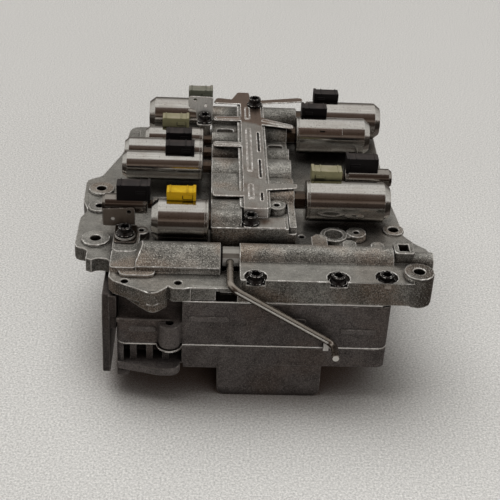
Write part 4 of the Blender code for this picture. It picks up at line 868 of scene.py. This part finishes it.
def seam_strip():
    """Strip welded along the right middle can: an arc of its circle, a little proud of it, with a
    black arc laid on it as painted shade for its slot."""
    can = "right_middle_solenoid_can"
    low, high = box_of(can)
    radius = (high[1] - low[1]) / 2
    axis_y = (low[1] + high[1]) / 2

    def arc_rows(left, right, turn, rise):
        angle = np.radians(np.linspace(*turn, 13))
        angle = np.concatenate([angle, angle[::-1]])
        reach = np.repeat([radius + rise, radius - 0.0003], 13)
        flat = np.column_stack([axis_y - reach * np.sin(angle), SOLENOID_Z + reach * np.cos(angle)])
        return rows_of([(left, flat), (right, flat)], (0.0, 0.0, 0.0), "X")

    piece("seam_strip", [arc_rows(*SEAM, SEAM_TURN, SEAM_RISE)], SEAM_STEEL, can, replaced=False, smooth=30)
    # Painted shade: a black arc laid on the strip where its slot is
    slot = arc_rows(*SEAM_SLOT, SEAM_SLOT_TURN, SEAM_RISE + 0.0001)
    piece("seam_slot_shade", [slot], BOLT_BLACK, can, replaced=False, smooth=30)


def deck_screw():
    """Socket screw sunk in the deck: a round head with a six-lobed recess."""
    profile = [(-0.0030, SCREW_RADIUS), (-0.0004, SCREW_RADIUS), (0.0, SCREW_RADIUS - 0.0004), (0.0, 0.0016)]
    sections = [(rise, ring(reach, AROUND)) for rise, reach in profile]
    sections += [(-0.0003, lobed(0.0013)), (-0.0016, lobed(0.0012))]
    head = rows_of(sections, (*SCREW, DECK_Z - 0.0006))
    piece("deck_screw", [head], BOLT_BLACK, "front_bolt_1", replaced=False, smooth=30)


# A plain stage

FLOOR_REACH = 6.0


def stage():
    """Level pale floor with fine specks, with a dark brown shadow painted close under the object."""
    floor_finish = Finish("pale_floor", 0.8)
    speck = floor_finish.noise(620.0, 3.0, 0.75)
    cloud = floor_finish.noise(5.0, 3.0)
    tone = floor_finish.scaled((0.600, 0.592, 0.570), 0.02 + speck * 1.90 + cloud * 0.05)
    # Painted shadow: dark brown close under the object, masked by ambient occlusion
    shade = floor_finish.ambient_occlusion(0.06).above(0.20, 0.75)
    tone = floor_finish.mix(shade, (0.070, 0.042, 0.030), tone)
    floor_finish.paint(tone, normal=floor_finish.bump(speck, 0.0002))
    floor_finish.shader.inputs["Specular IOR Level"].default_value = 0.2
    far = FLOOR_REACH
    mesh = bpy.data.meshes.new("floor")
    mesh.from_pydata([(-far, -far, 0), (far, -far, 0), (far, far, 0), (-far, far, 0)], [], [(0, 1, 2, 3)])
    mesh.materials.append(floor_finish.material)
    floor = bpy.data.objects.new("floor", mesh)
    bpy.context.scene.collection.objects.link(floor)
    floor.visible_glossy = False


# What polished steel mirrors, by the angle from straight up towards the camera in degrees: a pale panel
# overhead and behind, and a dark warm room in front with one dim strip
MIRRORED = (
    (-180, (0.10, 0.085, 0.075)), (-78, (0.14, 0.125, 0.115)), (-62, (0.36, 0.345, 0.325)),
    (-46, (0.78, 0.768, 0.742)), (12, (0.79, 0.775, 0.745)), (18, (0.14, 0.105, 0.09)),
    (53, (0.055, 0.036, 0.026)), (61, (0.15, 0.115, 0.095)), (67, (0.19, 0.15, 0.125)),
    (72, (0.05, 0.036, 0.029)), (96, (0.03, 0.022, 0.018)), (102, (0.14, 0.13, 0.118)),
    (116, (0.11, 0.10, 0.09)), (126, (0.03, 0.025, 0.021)), (180, (0.02, 0.016, 0.013)),
)
SIDE_GLOW = (0.62, 0.61, 0.58)
# The room's even light on every surface, and the backdrop that the camera sees
AMBIENT = (0.200, 0.186, 0.174)
BACKDROP = (0.565, 0.558, 0.539)


def room():
    """Pale room: even light for surfaces, and for mirrors a bright overhead panel before a dark warm
    front."""
    world = bpy.data.worlds.new("room")
    bpy.context.scene.world = world
    world.use_nodes = True
    sky = Nodes(world.node_tree)
    direction = sky.node("ShaderNodeTexCoord", output="Generated")
    x, y, z = sky.parts(direction)
    turn = (0 - y).maths("ARCTAN2", z) * (0.5 / math.pi) + 0.5
    mirror = sky.ramp(turn, *[(angle / 360 + 0.5, colour) for angle, colour in MIRRORED])
    sideways = x.maths("ABSOLUTE").above(0.40, 0.25) * z.above(0.0, 0.3)
    mirror = sky.mix(sideways * 0.8, mirror, SIDE_GLOW)
    path = sky.tree.nodes.new("ShaderNodeLightPath")
    shown = Value(sky, path.outputs["Is Camera Ray"])
    glossy = Value(sky, path.outputs["Is Glossy Ray"])
    through = Value(sky, path.outputs["Is Transmission Ray"])
    colour = sky.mix(glossy, AMBIENT, mirror)
    colour = sky.mix((shown + through).maths("MINIMUM", 1.0), colour, BACKDROP)
    background = sky.tree.nodes["Background"]
    sky.feed(background.inputs["Color"], colour)


def sun(name, way, strength, spread):
    """A distant soft light that shines along a direction, kept out of mirrors."""
    light = bpy.data.lights.new(name, "SUN")
    light.energy = strength
    light.angle = math.radians(spread)
    item = bpy.data.objects.new(name, light)
    item.rotation_euler = direction_to_euler(np.array(way))
    item.visible_glossy = False
    bpy.context.scene.collection.objects.link(item)


def lamp(name, place, target, size, power):
    """A soft rectangular lamp that faces a target, kept out of mirrors."""
    light = bpy.data.lights.new(name, "AREA")
    light.shape = "RECTANGLE"
    light.size, light.size_y = size
    light.energy = power
    item = bpy.data.objects.new(name, light)
    item.visible_glossy = False
    item.location = place
    way = np.array(target) - np.array(place)
    item.rotation_euler = direction_to_euler(way)
    bpy.context.scene.collection.objects.link(item)


def direction_to_euler(way):
    """Turns that point an object's -Z axis along a direction, level from side to side."""
    x, y, z = way / np.linalg.norm(way)
    return (math.acos(-z), 0.0, math.atan2(-x, y))


def camera():
    """Photo camera: 32 degrees above the level, 3 degrees round to the left, rolled 3.1 degrees
    clockwise."""
    elevation = math.radians(32.0)
    heading = math.radians(3.0)
    roll = math.radians(3.1)
    distance = 0.895
    ahead = np.array([math.sin(heading) * math.cos(elevation), math.cos(heading) * math.cos(elevation),
                      -math.sin(elevation)])
    level = np.array([math.cos(heading), -math.sin(heading), 0.0])
    above = np.cross(level, ahead)
    right = math.cos(roll) * level + math.sin(roll) * above
    up = math.cos(roll) * above - math.sin(roll) * level
    lens_pixels = 1100.0
    half_frame_pixels = 250.0
    off_centre = 2.0 / lens_pixels
    target = np.array([0.0, 0.0, 0.065])
    towards = ahead + right * off_centre - up * off_centre
    place = target - towards * distance
    data = bpy.data.cameras.new("camera")
    data.sensor_fit = "HORIZONTAL"
    data.angle = 2 * math.atan(half_frame_pixels / lens_pixels)
    data.clip_start = 0.01
    item = bpy.data.objects.new("camera", data)
    columns = np.column_stack([right, up, -ahead, place])
    item.matrix_world = Matrix(columns.tolist() + [[0, 0, 0, 1]])
    bpy.context.scene.collection.objects.link(item)
    bpy.context.scene.camera = item


CAN_STEEL = turned_steel("can_steel")
SMALL_CAN_STEEL = turned_steel("small_can_steel", (0.34, 0.315, 0.29), (0.28, 0.25, 0.225))
UPPER_CAST = sand_cast("upper_cast", (0.205, 0.197, 0.178), (0.375, 0.365, 0.338), (0.24, 0.172, 0.124),
                       metal=0.76, grain=1.25, machined_levels=(DECK_Z, LEDGE_Z, SEAT_Z),
                       stains=((0.1235, -0.0900, 0.018),))
LOWER_CAST = sand_cast("lower_cast", (0.070, 0.060, 0.056), (0.104, 0.092, 0.087), (0.080, 0.060, 0.050),
                       1.0, 0.3, proud=BAR_FRONT)
COVER_CAST = sand_cast("cover_cast", (0.036, 0.031, 0.029), (0.062, 0.054, 0.050), (0.045, 0.033, 0.028),
                       1.0, 0.3)
STAMPED = stamped_steel("stamped_plate", brown_from=0.104)
SEAM_STEEL = stamped_steel("seam_steel", (0.40, 0.33, 0.29), (0.34, 0.25, 0.20))
# Edge finishes: pale edges, partly wear and partly painted highlight
STEEL_EDGE = rubbed_and_highlit("steel_edge", (0.98, 0.96, 0.92), (0.50, 0.46, 0.42), 0.06, 0.35)
BROWN_EDGE = rubbed_and_highlit("brown_edge", (0.55, 0.50, 0.44), (0.14, 0.11, 0.09), -0.02)
UPPER_EDGE = rubbed_and_highlit("upper_edge", (0.92, 0.90, 0.86), (0.40, 0.38, 0.35), 0.03, 0.35, 0.3)
LOWER_EDGE = rubbed_and_highlit("lower_edge", (0.26, 0.24, 0.22), (0.10, 0.088, 0.080), 0.0, 0.4, 0.4)
BRACKET = stamped_steel("brown_bracket", (0.12, 0.095, 0.075), (0.085, 0.06, 0.045))
WASHER_STEEL = stamped_steel("washer_steel", (0.34, 0.32, 0.30), (0.22, 0.18, 0.15))
SEPARATOR = stamped_steel("separator_plate", (0.62, 0.60, 0.57), (0.45, 0.41, 0.37))
GROUND = plain_steel("ground_steel", (0.44, 0.425, 0.395), rough=0.42)
ROD_STEEL = plain_steel("rod_steel", (0.34, 0.305, 0.270), 0.6)
SLEEVE = plain_steel("sleeve_steel", (0.10, 0.075, 0.058))
BOLT_BLACK = phosphated("bolt_black")
# Painted glints on the bolt rims
GLINT_RIM = phosphated("glint_rim", 0.48)
# Each plastic: its colour, the lighter tone of its tops (partly a dusting, partly painted light from above)
# and its shine
PLASTICS = {
    "black": moulded("black_plastic", (0.004, 0.003, 0.0035), (0.060, 0.045, 0.040), 0.3),
    "yellow": moulded("yellow_plastic", (0.46, 0.265, 0.001), (0.72, 0.52, 0.03), 0.2),
    "olive": moulded("olive_plastic", (0.23, 0.215, 0.115)),
    "grey": moulded("grey_plastic", (0.13, 0.135, 0.10)),
}

for casting in ("upper_body", "solenoid_body"):
    rounded(casting, UPPER_CAST, UPPER_EDGE, 0.0006)
for casting in ("base_housing", "lower_body", "middle_body"):
    rounded(casting, LOWER_CAST, LOWER_EDGE, 0.0005)
rounded("side_cover", COVER_CAST, LOWER_EDGE, 0.0005)
rounded("retainer_plate", STAMPED, STEEL_EDGE, 0.00055)
rounded("rear_bracket", SEPARATOR, STEEL_EDGE, 0.0004)
rounded("front_bracket", BRACKET, BROWN_EDGE, 0.0004)
for plate in ("lower_separator_plate", "upper_separator_plate"):
    rounded(plate, SEPARATOR, STEEL_EDGE, 0.0002)
dress(STAMPED, "plug_key", "line_pressure_plug", "converter_pressure_plug")
dress(GROUND, "manual_valve", "bore_plug", "line_pressure_valve", "converter_pressure_valve")
dress(SLEEVE, *[name + "_solenoid_sleeve" for name in LARGE + SMALL])
for solenoid in LARGE + SMALL:
    solenoid_can(solenoid)
    connector(solenoid)
for bolt in BOLTS:
    flange_bolt(bolt, WASHERS if bolt == "front_bracket_bolt" else 0)
link_rod()
for regulator in ("line_pressure", "converter_pressure"):
    spring(regulator)
rolled_beads()
seam_strip()
deck_screw()

stage()
room()
sun("key_sun", way=(0.26, -0.36, -1.0), strength=2.50, spread=60)
lamp("front_fill", place=(0.35, -1.1, 0.5), target=(0, 0, 0.08), size=(0.9, 0.7), power=4.2)
camera()
bpy.context.scene.view_settings.view_transform = "Standard"
